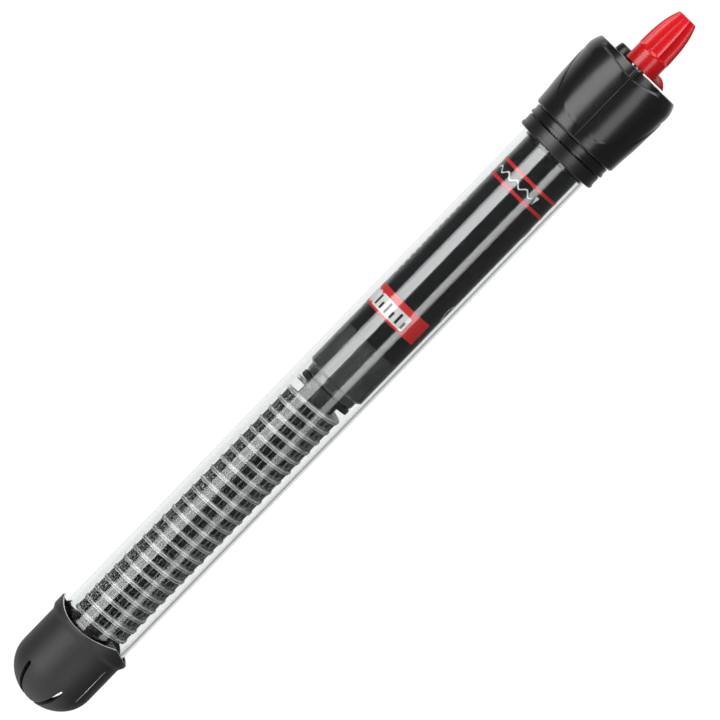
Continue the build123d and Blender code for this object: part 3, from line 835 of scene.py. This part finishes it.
# ------------------------------------------------------------------ heating element
@dataclass
class Element:
    """Ceramic rib, the winding between its turns, and the fins that carry the winding."""

    low: float = 29.7
    pitch: float = 4.3
    turns: float = 23.4
    outer: float = 9.65
    core: float = 6.15
    thick: float = 1.3
    start_deg: float = 84.0
    coil_turns: float = 22.0
    coil_radius: float = 7.5
    bundle: float = 1.0
    loop_gap: float = 0.9
    wire: float = 0.16
    fins_a_turn: int = 26
    fin_radius: float = 8.95
    fin_deep: float = 0.5
    fin_wide: float = 0.28

    def helix(
        self, tree: bpy.types.NodeTree, source: bpy.types.Node, low: float, per_turn: int
    ) -> bpy.types.NodeSocket:
        """A right-handed helix round the axis.

        Args:
            tree: the tree that the path is added to.
            source: the group's input node, with Radius, Pitch and Turns.
            low: height where the path begins, in millimetres.
            per_turn: points in one turn.

        Returns:
            The socket that gives the path, its normals upright.
        """
        line = add_node(tree, "GeometryNodeCurvePrimitiveLine").outputs[0]
        dense = self.resampled(tree, line, int(self.turns * per_turn))
        share = add_node(tree, "GeometryNodeSplineParameter").outputs["Factor"]
        turned_by = maths(tree, "MULTIPLY", share, source.outputs["Turns"])
        angle = maths(tree, "MULTIPLY_ADD", turned_by, tau, radians(self.start_deg))
        rise = maths(tree, "MULTIPLY_ADD", turned_by, source.outputs["Pitch"], level(low))
        swings = [maths(tree, name, angle) for name in ("COSINE", "SINE")]
        sides = [maths(tree, "MULTIPLY", swing, source.outputs["Radius"]) for swing in swings]
        spot = add_node(tree, "ShaderNodeCombineXYZ", {}, {}, {0: sides[0], 1: sides[1], 2: rise})
        route = {"Geometry": dense, "Position": spot.outputs[0]}
        wound = {"Curve": add_node(tree, "GeometryNodeSetPosition", {}, {}, route).outputs[0]}
        return add_node(tree, "GeometryNodeSetCurveNormal", {"mode": "Z_UP"}, {}, wound).outputs[0]

    @staticmethod
    def resampled(tree: bpy.types.NodeTree, curve: bpy.types.NodeSocket, count: int) -> bpy.types.NodeSocket:
        """The curve, divided into an even count of points."""
        kind = "GeometryNodeResampleCurve"
        return add_node(tree, kind, {"mode": "COUNT"}, {"Count": count}, {"Curve": curve}).outputs[0]

    @staticmethod
    def swept(
        tree: bpy.types.NodeTree, path: bpy.types.NodeSocket, section: bpy.types.NodeSocket
    ) -> bpy.types.NodeSocket:
        """A closed section drawn along a path, with its ends capped."""
        curves = {"Curve": path, "Profile Curve": section}
        return add_node(tree, "GeometryNodeCurveToMesh", {}, {"Fill Caps": True}, curves).outputs[0]

    def grooved(self, tree: bpy.types.NodeTree) -> bpy.types.NodeSocket:
        """The rib's closed section, its rim moulded with a narrow groove between two beads.

        Args:
            tree: the tree that the section is added to.

        Returns:
            The socket that gives the closed curve.
        """
        half, deep = self.thick / 2, (self.outer - self.core) / 2
        rim = [(deep - 0.2, -half), (deep, -half + 0.16), (deep, -0.12), (deep - 0.9, -0.06)]
        rim += [(deep - 0.9, 0.2), (deep - 0.1, 0.28), (deep - 0.1, half - 0.12), (deep - 0.3, half)]
        corners = [(-deep, -half)] + rim + [(-deep, half)]
        values = {"Resolution": len(corners), "Radius": 1.0}
        line = add_node(tree, "GeometryNodeCurvePrimitiveCircle", {}, values)
        number = add_node(tree, "GeometryNodeInputIndex")
        choices = {}
        for axis in (0, 1):
            pick = add_node(tree, "GeometryNodeIndexSwitch", {"data_type": "FLOAT"})
            while len(pick.index_switch_items) < len(corners):
                pick.index_switch_items.new()
            for place, corner in enumerate(corners):
                pick.inputs[place + 1].default_value = corner[axis] * MM
            tree.links.new(number.outputs[0], pick.inputs[0])
            choices[axis] = pick.outputs[0]
        spot = add_node(tree, "ShaderNodeCombineXYZ", {}, {}, choices)
        route = {"Geometry": line.outputs[0], "Position": spot.outputs[0]}
        return add_node(tree, "GeometryNodeSetPosition", {}, {}, route).outputs[0]

    def build_rib(self) -> bpy.types.Object:
        """The helical ceramic rib, with a shallow groove round its rim.

        Returns:
            The piece.
        """
        middle = (self.outer + self.core) / 2
        inputs = {"Radius": middle * MM, "Pitch": self.pitch * MM, "Turns": self.turns}
        tool = NodeTool("element_rib", inputs)
        tree, source = tool.open()
        path = self.helix(tree, source, self.low + self.thick / 2, 64)
        rib = self.swept(tree, path, self.grooved(tree))
        piece = shade(tool.run(tree, rib, STEATITE), 40)
        return dress(piece, STEATITE, "heater_body", "ceramic", "element_flight")

    def build_winding(self) -> bpy.types.Object:
        """The resistance wire: a small spring wound round the core between the rib's turns.

        Returns:
            The piece.
        """
        per_turn = tau * self.coil_radius / self.loop_gap
        loops = self.coil_turns * per_turn
        tool = NodeTool(
            "element_winding",
            {
                "Radius": self.coil_radius * MM,
                "Pitch": self.pitch * MM,
                "Turns": self.coil_turns,
                "Bundle": self.bundle * MM,
                "Loops": loops,
            },
        )
        tree, source = tool.open()
        path = self.helix(tree, source, self.low + self.thick / 2 + self.pitch / 2, 96)
        dense = self.resampled(tree, path, int(ceil(loops) * 8))
        share = add_node(tree, "GeometryNodeSplineParameter").outputs["Factor"]
        full = maths(tree, "MULTIPLY", maths(tree, "MULTIPLY", share, source.outputs["Loops"]), tau)
        normal = add_node(tree, "GeometryNodeInputNormal").outputs[0]
        frame = {0: add_node(tree, "GeometryNodeInputTangent").outputs[0], 1: normal}
        side = add_node(tree, "ShaderNodeVectorMath", {"operation": "CROSS_PRODUCT"}, {}, frame)
        parts = {}
        for index, (name, vector) in enumerate((("COSINE", normal), ("SINE", side.outputs[0]))):
            reach = maths(tree, "MULTIPLY", maths(tree, name, full), source.outputs["Bundle"])
            links = {0: vector, "Scale": reach}
            scaled = add_node(tree, "ShaderNodeVectorMath", {"operation": "SCALE"}, {}, links)
            parts[index] = scaled.outputs[0]
        offset = add_node(tree, "ShaderNodeVectorMath", {"operation": "ADD"}, {}, parts)
        route = {"Geometry": dense, "Offset": offset.outputs[0]}
        wound = add_node(tree, "GeometryNodeSetPosition", {}, {}, route).outputs[0]
        values = {"Resolution": 5, "Radius": self.wire * MM}
        section = add_node(tree, "GeometryNodeCurvePrimitiveCircle", {}, values).outputs[0]
        wire = self.swept(tree, wound, section)
        piece = shade(tool.run(tree, wire, WIRE), 80)
        return dress(piece, WIRE, "heater_body", "resistance_wire", "heating_coil")

    def build_fins(self) -> bpy.types.Object:
        """Small upright ceramic fins between the rib's turns, which hold the winding in place; their mid grey
        is painted shade of the recess.

        Returns:
            The piece.
        """
        inputs = {"Radius": self.fin_radius * MM, "Pitch": self.pitch * MM, "Turns": self.coil_turns}
        tool = NodeTool("element_fins", inputs)
        tree, source = tool.open()
        path = self.helix(tree, source, self.low + self.thick / 2 + self.pitch / 2, 96)
        count = {"Count": int(self.coil_turns * self.fins_a_turn)}
        spots = add_node(tree, "GeometryNodeCurveToPoints", {"mode": "COUNT"}, count, {"Curve": path})
        place = add_node(tree, "GeometryNodeInputPosition").outputs[0]
        level_only = {"operation": "MULTIPLY"}
        values = {1: (1.0, 1.0, 0.0)}
        flat = add_node(tree, "ShaderNodeVectorMath", level_only, values, {0: place}).outputs[0]
        facing = add_node(tree, "FunctionNodeAlignRotationToVector", {"axis": "X"}, {}, {"Vector": flat})
        size = (self.fin_deep * MM, self.fin_wide * MM, (self.pitch - self.thick + 0.1) * MM)
        fin = add_node(tree, "GeometryNodeMeshCube", {}, {"Size": size})
        row = {"Points": spots.outputs[0], "Instance": fin.outputs[0], "Rotation": facing.outputs[0]}
        fins = add_node(tree, "GeometryNodeInstanceOnPoints", {}, {}, row).outputs[0]
        # The fins take the mid-grey painted shade of the recess.
        piece = shade(tool.run(tree, fins, STEATITE_MID_PAINTED_SHADE), 30)
        return dress(piece, STEATITE_MID_PAINTED_SHADE, "heater_body", "ceramic")


# ------------------------------------------------------------------ printing on the sleeve
@dataclass
class Print:
    """Plain marks printed on the dark sleeve: a band, two level lines, ticks and waves."""

    radius: float = 10.52
    layer: float = 0.012
    band: Corner = (162.0, 170.2)
    panel: Corner = (162.8, 167.9)
    lines_at: Corner = (216.65, 222.55)
    wave_at: float = 219.7
    ring_at: Corner = (80.0, 176.5)

    def patch(
        self, name: str, finish: Finish, loops: Iterable[Profile], lift: float = 0.0
    ) -> bpy.types.Object:
        """Flat outlines of (front angle, height) wrapped round the sleeve.

        Args:
            name: the piece's name.
            finish: the ink.
            loops: quads, each four corners in order.
            lift: how far over the sleeve the ink stands, in millimetres.

        Returns:
            The printed piece.
        """
        points: list[Point] = []
        faces = []
        for a, b, c, d in loops:
            wide = max(abs(b[0] - a[0]), abs(c[0] - d[0]))
            steps = max(1, ceil(wide / 3))
            base = len(points)
            for i in range(steps + 1):
                t = i / steps
                for start, end in ((a, b), (d, c)):
                    turn = start[0] + (end[0] - start[0]) * t
                    height = start[1] + (end[1] - start[1]) * t
                    points.append(around(self.radius + lift, turn, height))
            for low in range(base, base + 2 * steps, 2):
                faces.append([low, low + 2, low + 3, low + 1])
        mesh = bpy.data.meshes.new(name)
        mesh.from_pydata(points, [], faces)
        mesh.polygons.foreach_set("use_smooth", [True] * len(mesh.polygons))
        return dress(placed(name, mesh), finish, "heater_body", "sleeve_film")

    @staticmethod
    def box(left: float, right: float, low: float, high: float) -> list[Corner]:
        """An upright rectangle on the sleeve."""
        return [(left, low), (right, low), (right, high), (left, high)]

    def build(self) -> None:
        """All the printing, band first and the finest marks on top."""
        self.patch("print_band_red", INK_RED, [self.box(-150, 54, *self.band)])
        low, high = self.panel
        self.patch("print_panel_white", INK_WHITE, [self.box(-110, 20, low, high)], self.layer)
        slashes = [[(at, low), (at + 6, low), (at + 14, high), (at + 8, high)] for at in (-74.0, -62.0)]
        self.patch("print_band_slashes", INK_RED, slashes, 2 * self.layer)
        bars = []
        for index in range(6):
            left = -50 + index * 12.5
            bars.append(self.box(left, left + 4.6, low + 0.7, low + (4.4 if index % 2 == 0 else 3.0)))
        self.patch("print_band_ticks", INK_BLACK, bars, 2 * self.layer)
        lines = [self.box(-178, 178, at, at + 1.1) for at in self.lines_at]
        self.patch("print_level_lines", INK_RED, lines)
        wave = []
        for index in range(36):
            left = -64 + index * 2.4
            low, high = (self.wave_at + 0.8 * sin(step * tau / 9) for step in (index, index + 1))
            wave.append([(left, low), (left + 2.4, high), (left + 2.4, high + 0.55), (left, low + 0.55)])
        self.patch("print_level_wave", INK_WHITE, wave, self.layer)
        pointer = [[(28.8, 218.4), (29.2, 218.4), (32.5, 221.3), (25.5, 221.3)]]
        self.patch("print_level_pointer", INK_WHITE, pointer, self.layer)
        dashes = [self.box(-74, -68, 175 + 2.5 * i, 175.9 + 2.5 * i) for i in range(13)]
        self.patch("print_side_ticks", INK_WHITE, dashes)
        ring = []
        for index in range(40):
            corners = []
            for radius, step in ((3.4, index), (3.4, index + 1), (3.0, index + 1), (3.0, index)):
                turn = tau * step / 40
                across = degrees(radius * cos(turn) / self.radius)
                corners.append((self.ring_at[0] + across, self.ring_at[1] + radius * sin(turn)))
            ring.append(corners)
        self.patch("print_side_ring", INK_WHITE, ring)


# ------------------------------------------------------------------ head
@dataclass
class Head:
    """Barrel cover with its thumb panels and scooped edge, the two neck rings and the cord's gland."""

    foot: float = 242.0
    top: float = 270.1
    arch_radius: float = 15.5
    arch_height: float = 260.1
    panel_radius: float = 19.0
    panel_offset: float = 3.6
    collar: float = 14.4
    bore: float = 13.6
    plate: float = 3.6
    eye: float = 2.8
    gland_at: tuple[float, float] = (-6.2, 7.33)
    gland_radius: float = 3.6
    gland_foot: float = 262.5
    gland_top: float = 272.9
    gusset_top: float = 263.4
    gusset_slope: float = 2.5
    gusset_rise: float = 0.2
    half_depth: float = 15.62
    half_width: float = 16.64

    def barrel(self, height: float) -> float:
        """The plain barrel's radius at a height.

        Args:
            height: height above the end cap's tip.

        Returns:
            The radius in millimetres.
        """
        widest = (263.5, 16.5)
        low = ((self.foot, 15.6), (254.0, 16.25), widest)
        high = (widest, (268.0, 16.25), (self.top, 15.3))
        knots = low if height < widest[0] else high
        total = 0.0
        for i, (here, radius) in enumerate(knots):
            share = radius
            for j, (there, _) in enumerate(knots):
                if i != j:
                    share *= (height - there) / (here - there)
            total += share
        return total - 0.35 * (1 - smooth_step(self.foot, self.foot + 0.5, height))

    def surface(self, turn_deg: float, height: float) -> float:
        """The cover's outside radius, panels and gussets included.

        Args:
            turn_deg: angle from the front.
            height: height above the end cap's tip.

        Returns:
            The radius in millimetres.
        """
        base = self.barrel(height)
        off = (turn_deg + 90) % 180 - 90
        turn = radians(off)
        lean = self.panel_offset * cos(turn)
        panel = -lean + sqrt(lean**2 + self.panel_radius**2 - self.panel_offset**2)
        depth = base - panel
        depth = 0.5 * (depth + sqrt(depth**2 + 0.012)) - 0.03
        across = base * sin(turn)
        reach = hypot(across, min(height - self.arch_height, 0.0))
        width = 0.4 + 1.8 * (1 - smooth_step(8.0, 24.0, abs(off)))
        inside = smooth_step(0.0, width, self.arch_radius - reach)
        high = 1 - 0.5 * smooth_step(self.arch_height, self.top, height)
        side = (turn_deg % 180) - 90
        span = (self.gusset_top - height) * self.gusset_slope
        fade = smooth_step(self.foot + 4, self.foot + 11, height)
        raised = self.gusset_rise * fade * smooth_step(0.0, 1.6, span - abs(side))
        radius = base - max(depth, 0.0) * inside * high + raised
        front, flank = abs(cos(radians(turn_deg))), abs(sin(radians(turn_deg)))
        return min(radius, self.half_depth / max(front, 0.01), self.half_width / max(flank, 0.01))

    def build_barrel(self) -> bpy.types.Object:
        """The cover, cut by its bore, scoops, spindle eye and gland hole.

        Returns:
            The piece.
        """
        rows = [self.foot + 0.12 * i for i in range(5)]
        while rows[-1] < self.top - 0.5:
            rows.append(rows[-1] + (0.2 if rows[-1] < 252 else 0.4))
        rows += [self.top - 0.15, self.top]
        steps = 360
        points: list[Point] = []
        for height in rows:
            trim = 0.15 if height == self.top else 0.0
            points += [around(self.surface(i, height) - trim, i, height) for i in range(steps)]
        rings = [list(range(low, low + steps)) for low in range(0, len(points), steps)]
        piece = mesh_object("head_barrel", points, skin(rings, steps) + [rings[0], rings[-1]])
        x, y = self.gland_at
        cutters = [self.post("cut_bore", 0, 0, self.bore, self.foot - 2, self.top - self.plate)]
        cutters.append(self.post("cut_eye", 0, 0, self.eye, self.foot, self.top + 2))
        cutters.append(self.post("cut_gland", x, y, self.gland_radius + 0.1, self.foot, self.top + 2))
        for turn in (0.0, 180.0):
            cutters.append(self.scoop(turn - 58.0, turn - 2.0, 268.3, 266.5))
            cutters.append(self.scoop(turn + 2.6, turn + 40.0, 266.4, 268.6))
        carved(piece, cutters, False)
        shade(softened(piece, 0.18, 45), 32)
        return dress(piece, HEAD_SATIN, "heater_body", "head_plastic", "head_cover")

    @staticmethod
    def post(name: str, x: float, y: float, radius: float, low: float, high: float) -> bpy.types.Object:
        """A round cutting shape.

        Args:
            name: the shape's name.
            x: where its axis stands, in millimetres.
            y: where its axis stands, in millimetres.
            radius: its radius, in millimetres.
            low: height of its foot.
            high: height of its top.

        Returns:
            The closed cutting shape.
        """
        steps = 96
        points: list[Point] = []
        for height in (low, high):
            for i in range(steps):
                turn = tau * (i + 0.5) / steps
                points.append(((x + radius * cos(turn)) * MM, (y + radius * sin(turn)) * MM, level(height)))
        faces: list[list[int]] = [list(range(steps)), list(range(steps, 2 * steps))]
        faces += [[i, (i + 1) % steps, steps + (i + 1) % steps, steps + i] for i in range(steps)]
        return mesh_object(name, points, faces)

    def scoop(self, start: float, end: float, low_start: float, low_end: float) -> bpy.types.Object:
        """A cutting shape for one scoop of the top edge, down to the collar.

        Args:
            start: the angle where it begins.
            end: the angle where it ends.
            low_start: height of its floor where it begins.
            low_end: height of its floor where it ends.

        Returns:
            The closed cutting shape.
        """
        steps = 24
        clear_radius, clear_height = 20.0, 273.0
        points: list[Point] = []
        for i in range(steps + 1):
            share = i / steps
            turn = start + (end - start) * share + 0.013
            low = low_start + (low_end - low_start) * share
            floor = [(self.collar, low + 0.55), (clear_radius, low - 1.5)]
            for radius, height in floor + [(clear_radius, clear_height), (self.collar, clear_height)]:
                points.append(around(radius, turn, height))
        faces: list[list[int]] = [[0, 1, 2, 3], [4 * steps + i for i in range(4)]]
        for i in range(steps):
            for j in range(4):
                k = (j + 1) % 4
                faces.append([4 * i + j, 4 * i + k, 4 * i + 4 + k, 4 * i + 4 + j])
        return mesh_object("cut_scoop", points, faces)

    def build_seam(self) -> bpy.types.Object:
        """The mould's parting line down the front and back of the cover, its grey a painted highlight along
        the ridge.

        Returns:
            The piece.
        """
        spine = []
        rows = 60
        for i in range(rows + 1):
            height = self.foot + 0.8 + (self.top - 0.5 - self.foot) * i / (rows + 1)
            spine.append((height, self.surface(0.0, height), 0.09 + 0.05 * smooth_step(254.0, 258.0, height)))
        # The seam's grey colour is a painted highlight on the ridge.
        piece = ridges("head_seam", (0.0, 180.0), 0.6, spine)
        return dress(piece, SEAM_PAINTED_HIGHLIGHT, "heater_body", "head_plastic")

    def build_rings(self) -> None:
        """The two neck rings, each with a rounded lip at its lower edge."""
        seal = [(12.65, 233.8), (14.1, 233.8), (14.5, 234.05), (14.65, 234.5), (14.6, 234.95), (14.38, 235.4)]
        seal += [(14.33, 236.2), (14.4, 237.7), (14.3, 238.05), (14.05, 238.2), (13.1, 238.2)]
        piece = shade(turned("head_seal_ring", seal, 180), 40)
        dress(piece, RUBBER, "heater_body", "black_rubber", "neck_seal_ring")
        lock = [(13.45, 238.45), (14.4, 238.45), (14.75, 238.65), (14.85, 239.0), (14.8, 239.4)]
        lock += [(14.55, 239.8), (14.5, 240.4), (14.6, 241.35), (14.5, 241.6), (14.3, 241.7), (13.45, 241.7)]
        piece = shade(turned("head_lock_ring", lock, 180), 40)
        dress(piece, HEAD_SATIN, "heater_body", "head_plastic", "neck_lock_ring")

    def build_gland(self) -> bpy.types.Object:
        """The cord's gland: a rubber boss with a rounded shoulder and an open bore.

        Returns:
            The piece.
        """
        x, y = self.gland_at
        bore, lip, round_from = 2.7, 2.8, 270.2
        outline = [(self.gland_radius, self.gland_foot), (self.gland_radius, round_from)]
        for i in range(1, 9):
            turn = pi / 2 * i / 8
            reach = lip + (self.gland_radius - lip) * cos(turn)
            outline.append((reach, round_from + (self.gland_top - round_from) * sin(turn)))
        outline += [(bore, self.gland_top - 0.15), (bore, self.gland_foot)]
        piece = turned("head_gland", outline, 72)
        for vertex in piece.data.vertices:
            vertex.co.x += x * MM
            vertex.co.y += y * MM
        shade(piece, 50)
        return dress(piece, RUBBER, "heater_body", "black_rubber", "cord_grommet")

    def build_scale(self) -> bpy.types.Object:
        """Raised ticks of a plain temperature scale on the top face.

        Returns:
            The piece.
        """
        points: list[Point] = []
        faces = []
        for index in range(13):
            turn = 110 + 24 * (index + 1)
            if abs((turn - 219.8 + 180) % 360 - 180) < 34:
                continue
            inner, outer = (9.6, 12.4) if index % 2 == 0 else (10.8, 12.4)
            base = len(points)
            for radius in (inner, outer):
                for off in (-0.25, 0.25):
                    for height in (self.top - 0.05, self.top + 0.08):
                        points.append(around(radius, turn + degrees(off / radius), height))
            for quad in ((0, 1, 3, 2), (4, 5, 7, 6), (0, 1, 5, 4), (2, 3, 7, 6), (1, 3, 7, 5), (0, 2, 6, 4)):
                faces.append([base + corner for corner in quad])
        piece = shade(mesh_object("head_scale_ticks", points, faces), 30)
        return dress(piece, INK_WHITE, "heater_body", "head_plastic")

    def build(self) -> None:
        """Every visible piece of the head but the knob."""
        self.build_barrel()
        self.build_seam()
        self.build_rings()
        self.build_gland()
        self.build_scale()


# ------------------------------------------------------------------ knob
@dataclass
class Knob:
    """Fluted red grip on a round collar, with its pointer fin."""

    collar: float = 5.65
    collar_from: float = 270.6
    collar_to: float = 276.5
    tip: float = 291.9
    ridges: int = 10
    ridge_at: float = 18.0
    depth: float = 0.62
    fin_reach: float = 10.4
    fin_top: float = 273.6
    fin_thick: float = 1.6
    fin_at: float = 110.0

    def swell(self, height: float) -> float:
        """The grip's radius over its ridges at a height."""
        share = (height - self.collar_to) / (self.tip - self.collar_to)
        return self.collar + 0.08 - 0.35 * share - 2.1 * share**3.2

    def build_grip(self) -> bpy.types.Object:
        """Collar and grip as one closed skin, with ten crisp ridges.

        Returns:
            The piece.
        """
        per_ridge = 20
        steps = self.ridges * per_ridge
        rows: list[tuple[float, float, float]] = [
            (0.0, self.collar_from, 0.0),
            (self.collar - 0.2, self.collar_from, 0.0),
            (self.collar, self.collar_from + 0.2, 0.0),
            (self.collar, self.collar_to - 0.18, 0.0),
            (self.collar - 0.12, self.collar_to, 0.0),
        ]
        count = 44
        for i in range(count + 1):
            height = self.collar_to + 0.02 + (self.tip - 0.5 - self.collar_to) * i / count
            rows.append((self.swell(height), height, smooth_step(0.0, 0.06, i / count)))
        end = self.swell(self.tip - 0.5)
        rows += [(end - 0.15, self.tip - 0.18, 1.0), (end - 0.5, self.tip, 1.0), (0.0, self.tip, 0.0)]
        points: list[Point] = []
        rings = []
        for radius, height, carve in rows:
            number = 1 if radius < 1e-6 else steps
            rings.append(list(range(len(points), len(points) + number)))
            for i in range(number):
                between = (i % per_ridge) / per_ridge
                hollow = (4 * between * (1 - between)) ** 0.72
                cut = self.depth * carve * hollow * radius / self.collar
                points.append(around(radius - cut, self.ridge_at + 360 * i / max(number, 1), height))
        piece = shade(mesh_object("knob_grip", points, skin(rings, steps)), 32)
        return dress(piece, KNOB_RED, "knob_set", "knob_plastic", "adjusting_knob")

    def build_fin(self) -> bpy.types.Object:
        """The pointer: a thin fin that stands out from the collar.

        Returns:
            The piece.
        """
        outline = [(self.collar - 1.0, self.collar_from), (self.fin_reach, self.collar_from)]
        for i in range(1, 9):
            share = i / 8
            reach = self.fin_reach - (self.fin_reach - self.collar - 0.8) * share**1.2
            rise = (self.fin_top - 0.3 - self.collar_from) * sin(pi / 2 * share)
            outline.append((reach, self.collar_from + rise))
        outline.append((self.collar - 1.0, self.fin_top))
        points: list[Point] = []
        for side in (-1, 1):
            for radius, height in outline:
                swing = degrees(asin(side * self.fin_thick / 2 / radius))
                points.append(around(radius, self.fin_at + swing, height))
        count = len(outline)
        faces: list[list[int]] = [list(range(count)), list(range(2 * count - 1, count - 1, -1))]
        for i in range(count):
            j = (i + 1) % count
            faces.append([i, j, count + j, count + i])
        piece = shade(softened(mesh_object("knob_pointer", points, faces), 0.2, 35), 38)
        return dress(piece, KNOB_RED, "knob_set", "knob_plastic", "adjusting_knob")


# ------------------------------------------------------------------ studio
@dataclass(frozen=True)
class Panel:
    """A soft light that faces the tube: angle from the front, and distances and sizes in metres."""

    name: str
    turn: float
    reach: float
    size: tuple[float, float]
    radiance: float
    rise: float = 0.0

    def build(self) -> None:
        """The light, turned towards the tube."""
        lamp = bpy.data.lights.new(self.name, "AREA")
        lamp.shape = "RECTANGLE"
        lamp.size, lamp.size_y = self.size
        lamp.energy = self.radiance * pi * self.size[0] * self.size[1]
        panel = placed(self.name, lamp)
        swing = radians(self.turn)
        panel.location = (self.reach * sin(swing), -self.reach * cos(swing), self.rise)
        toward = Vector((0, 0, self.rise * 0.2)) - Vector(panel.location)
        panel.rotation_euler = toward.to_track_quat("-Z", "Y").to_euler()


PANELS = (
    Panel("strip_left", -39, 0.7, (0.44, 1.3), 4.6),
    Panel("strip_right", 35, 0.8, (0.30, 1.4), 3.0),
    Panel("overhead", 0, 0.05, (1.4, 1.4), 3.5, 1.3),
)


@dataclass
class Studio:
    """Floor, lights, world and camera."""

    tilt_deg: float = 5.2
    roll_deg: float = 44.15
    distance: float = 1.5
    frame_width: float = 0.2212
    aim_height: float = 147.1
    aim_side: float = 0.75
    floor_drop: float = 0.32
    floor_radius: float = 0.38
    glow_from: Point = (-0.26, 0.966, 0.0)

    def build_world(self) -> None:
        """White behind the object; as a source of light and reflections it is bright at the back only."""
        world = bpy.data.worlds.new("studio")
        bpy.context.scene.world = world
        world.use_nodes = True
        tree = world.node_tree
        tree.nodes.clear()
        path = add_node(tree, "ShaderNodeLightPath").outputs
        bounced = maths(tree, "ADD", path["Diffuse Depth"], path["Glossy Depth"])
        seen = maths(tree, "LESS_THAN", bounced, 0.5)
        white = add_node(tree, "ShaderNodeBackground", {}, {"Color": (1, 1, 1, 1), "Strength": 1.05})
        links = {0: add_node(tree, "ShaderNodeTexCoord").outputs["Generated"]}
        settings = {"operation": "DOT_PRODUCT"}
        toward = add_node(tree, "ShaderNodeVectorMath", settings, {1: self.glow_from}, links)
        values = {"From Min": 0.45, "From Max": 0.95, "To Min": 0.1, "To Max": 0.95}
        links = {"Value": toward.outputs["Value"]}
        glow = add_node(tree, "ShaderNodeMapRange", {"interpolation_type": "SMOOTHSTEP"}, values, links)
        links = {"Strength": glow.outputs[0]}
        fill = add_node(tree, "ShaderNodeBackground", {}, {"Color": (1, 1, 1, 1)}, links)
        links = {0: seen, 1: fill.outputs[0], 2: white.outputs[0]}
        choice = add_node(tree, "ShaderNodeMixShader", {}, {}, links)
        add_node(tree, "ShaderNodeOutputWorld", {}, {}, {"Surface": choice.outputs[0]})

    def build_floor(self) -> None:
        """A pale floor some way under the tube, which is held up by its glass."""
        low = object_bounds()[0].z - self.floor_drop
        steps, radius = 96, self.floor_radius
        turns = [tau * i / steps for i in range(steps)]
        rim = [(radius * cos(turn), radius * sin(turn), low) for turn in turns]
        mesh = bpy.data.meshes.new("floor")
        mesh.from_pydata(rim, [], [list(range(steps))])
        mesh.materials.append(PAPER.build())
        floor = placed("floor", mesh)
        floor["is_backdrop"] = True

    def build_camera(self) -> None:
        """A long lens that looks a little down on the tube, rolled so that the tube lies across the frame."""
        tilt, roll = radians(self.tilt_deg), radians(self.roll_deg)
        across = Vector((1, 0, 0))
        above = Vector((0, sin(tilt), cos(tilt)))
        ahead = Vector((0, cos(tilt), -sin(tilt)))
        right = cos(roll) * across + sin(roll) * above
        up = -sin(roll) * across + cos(roll) * above
        aim = Vector((0, 0, level(self.aim_height))) + across * self.aim_side * MM
        data = bpy.data.cameras.new("camera")
        data.sensor_width = 36.0
        data.lens = data.sensor_width * self.distance / self.frame_width
        data.clip_start, data.clip_end = 0.01, 20.0
        camera = placed("camera", data)
        turn = Matrix((right, up, -ahead)).transposed().to_4x4()
        camera.matrix_world = Matrix.Translation(aim - ahead * self.distance) @ turn
        bpy.context.scene.camera = camera

    def build(self) -> None:
        """The whole studio."""
        self.build_world()
        self.build_floor()
        for panel in PANELS:
            panel.build()
        self.build_camera()
        bpy.context.scene.view_settings.view_transform = "Standard"


def dress_frame(frame: dict[str, object]) -> None:
    """Gives every CAD node that is still shown the finish of its material slot."""
    for row in frame["record"]["subparts"]:
        node = frame["nodes"][row["node"]]
        # The end plates take the near-black painted shade instead of their slot's finish.
        finish = STEATITE_NEAR_BLACK_PAINTED_SHADE if row["node"] in DARK_NODES else SLOT_FINISH[row["material_slot"]]
        material = finish.build()
        if not node.material_slots:
            node.data.materials.append(material)
        for held in node.material_slots:
            held.material = material


def main() -> None:
    """Builds the heater's looks, sub-assembly by sub-assembly."""
    logging.basicConfig(level=logging.INFO, format="%(message)s")
    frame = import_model()
    dress_frame(frame)
    Tube().build()
    guard = Guard()
    guard.build()
    guard.build_mould_lines()
    guard.build_lip_line()
    element = Element()
    element.build_rib()
    element.build_winding()
    element.build_fins()
    Print().build()
    Head().build()
    knob = Knob()
    knob.build_grip()
    knob.build_fin()
    Studio().build()


if __name__ == "__main__":
    main()
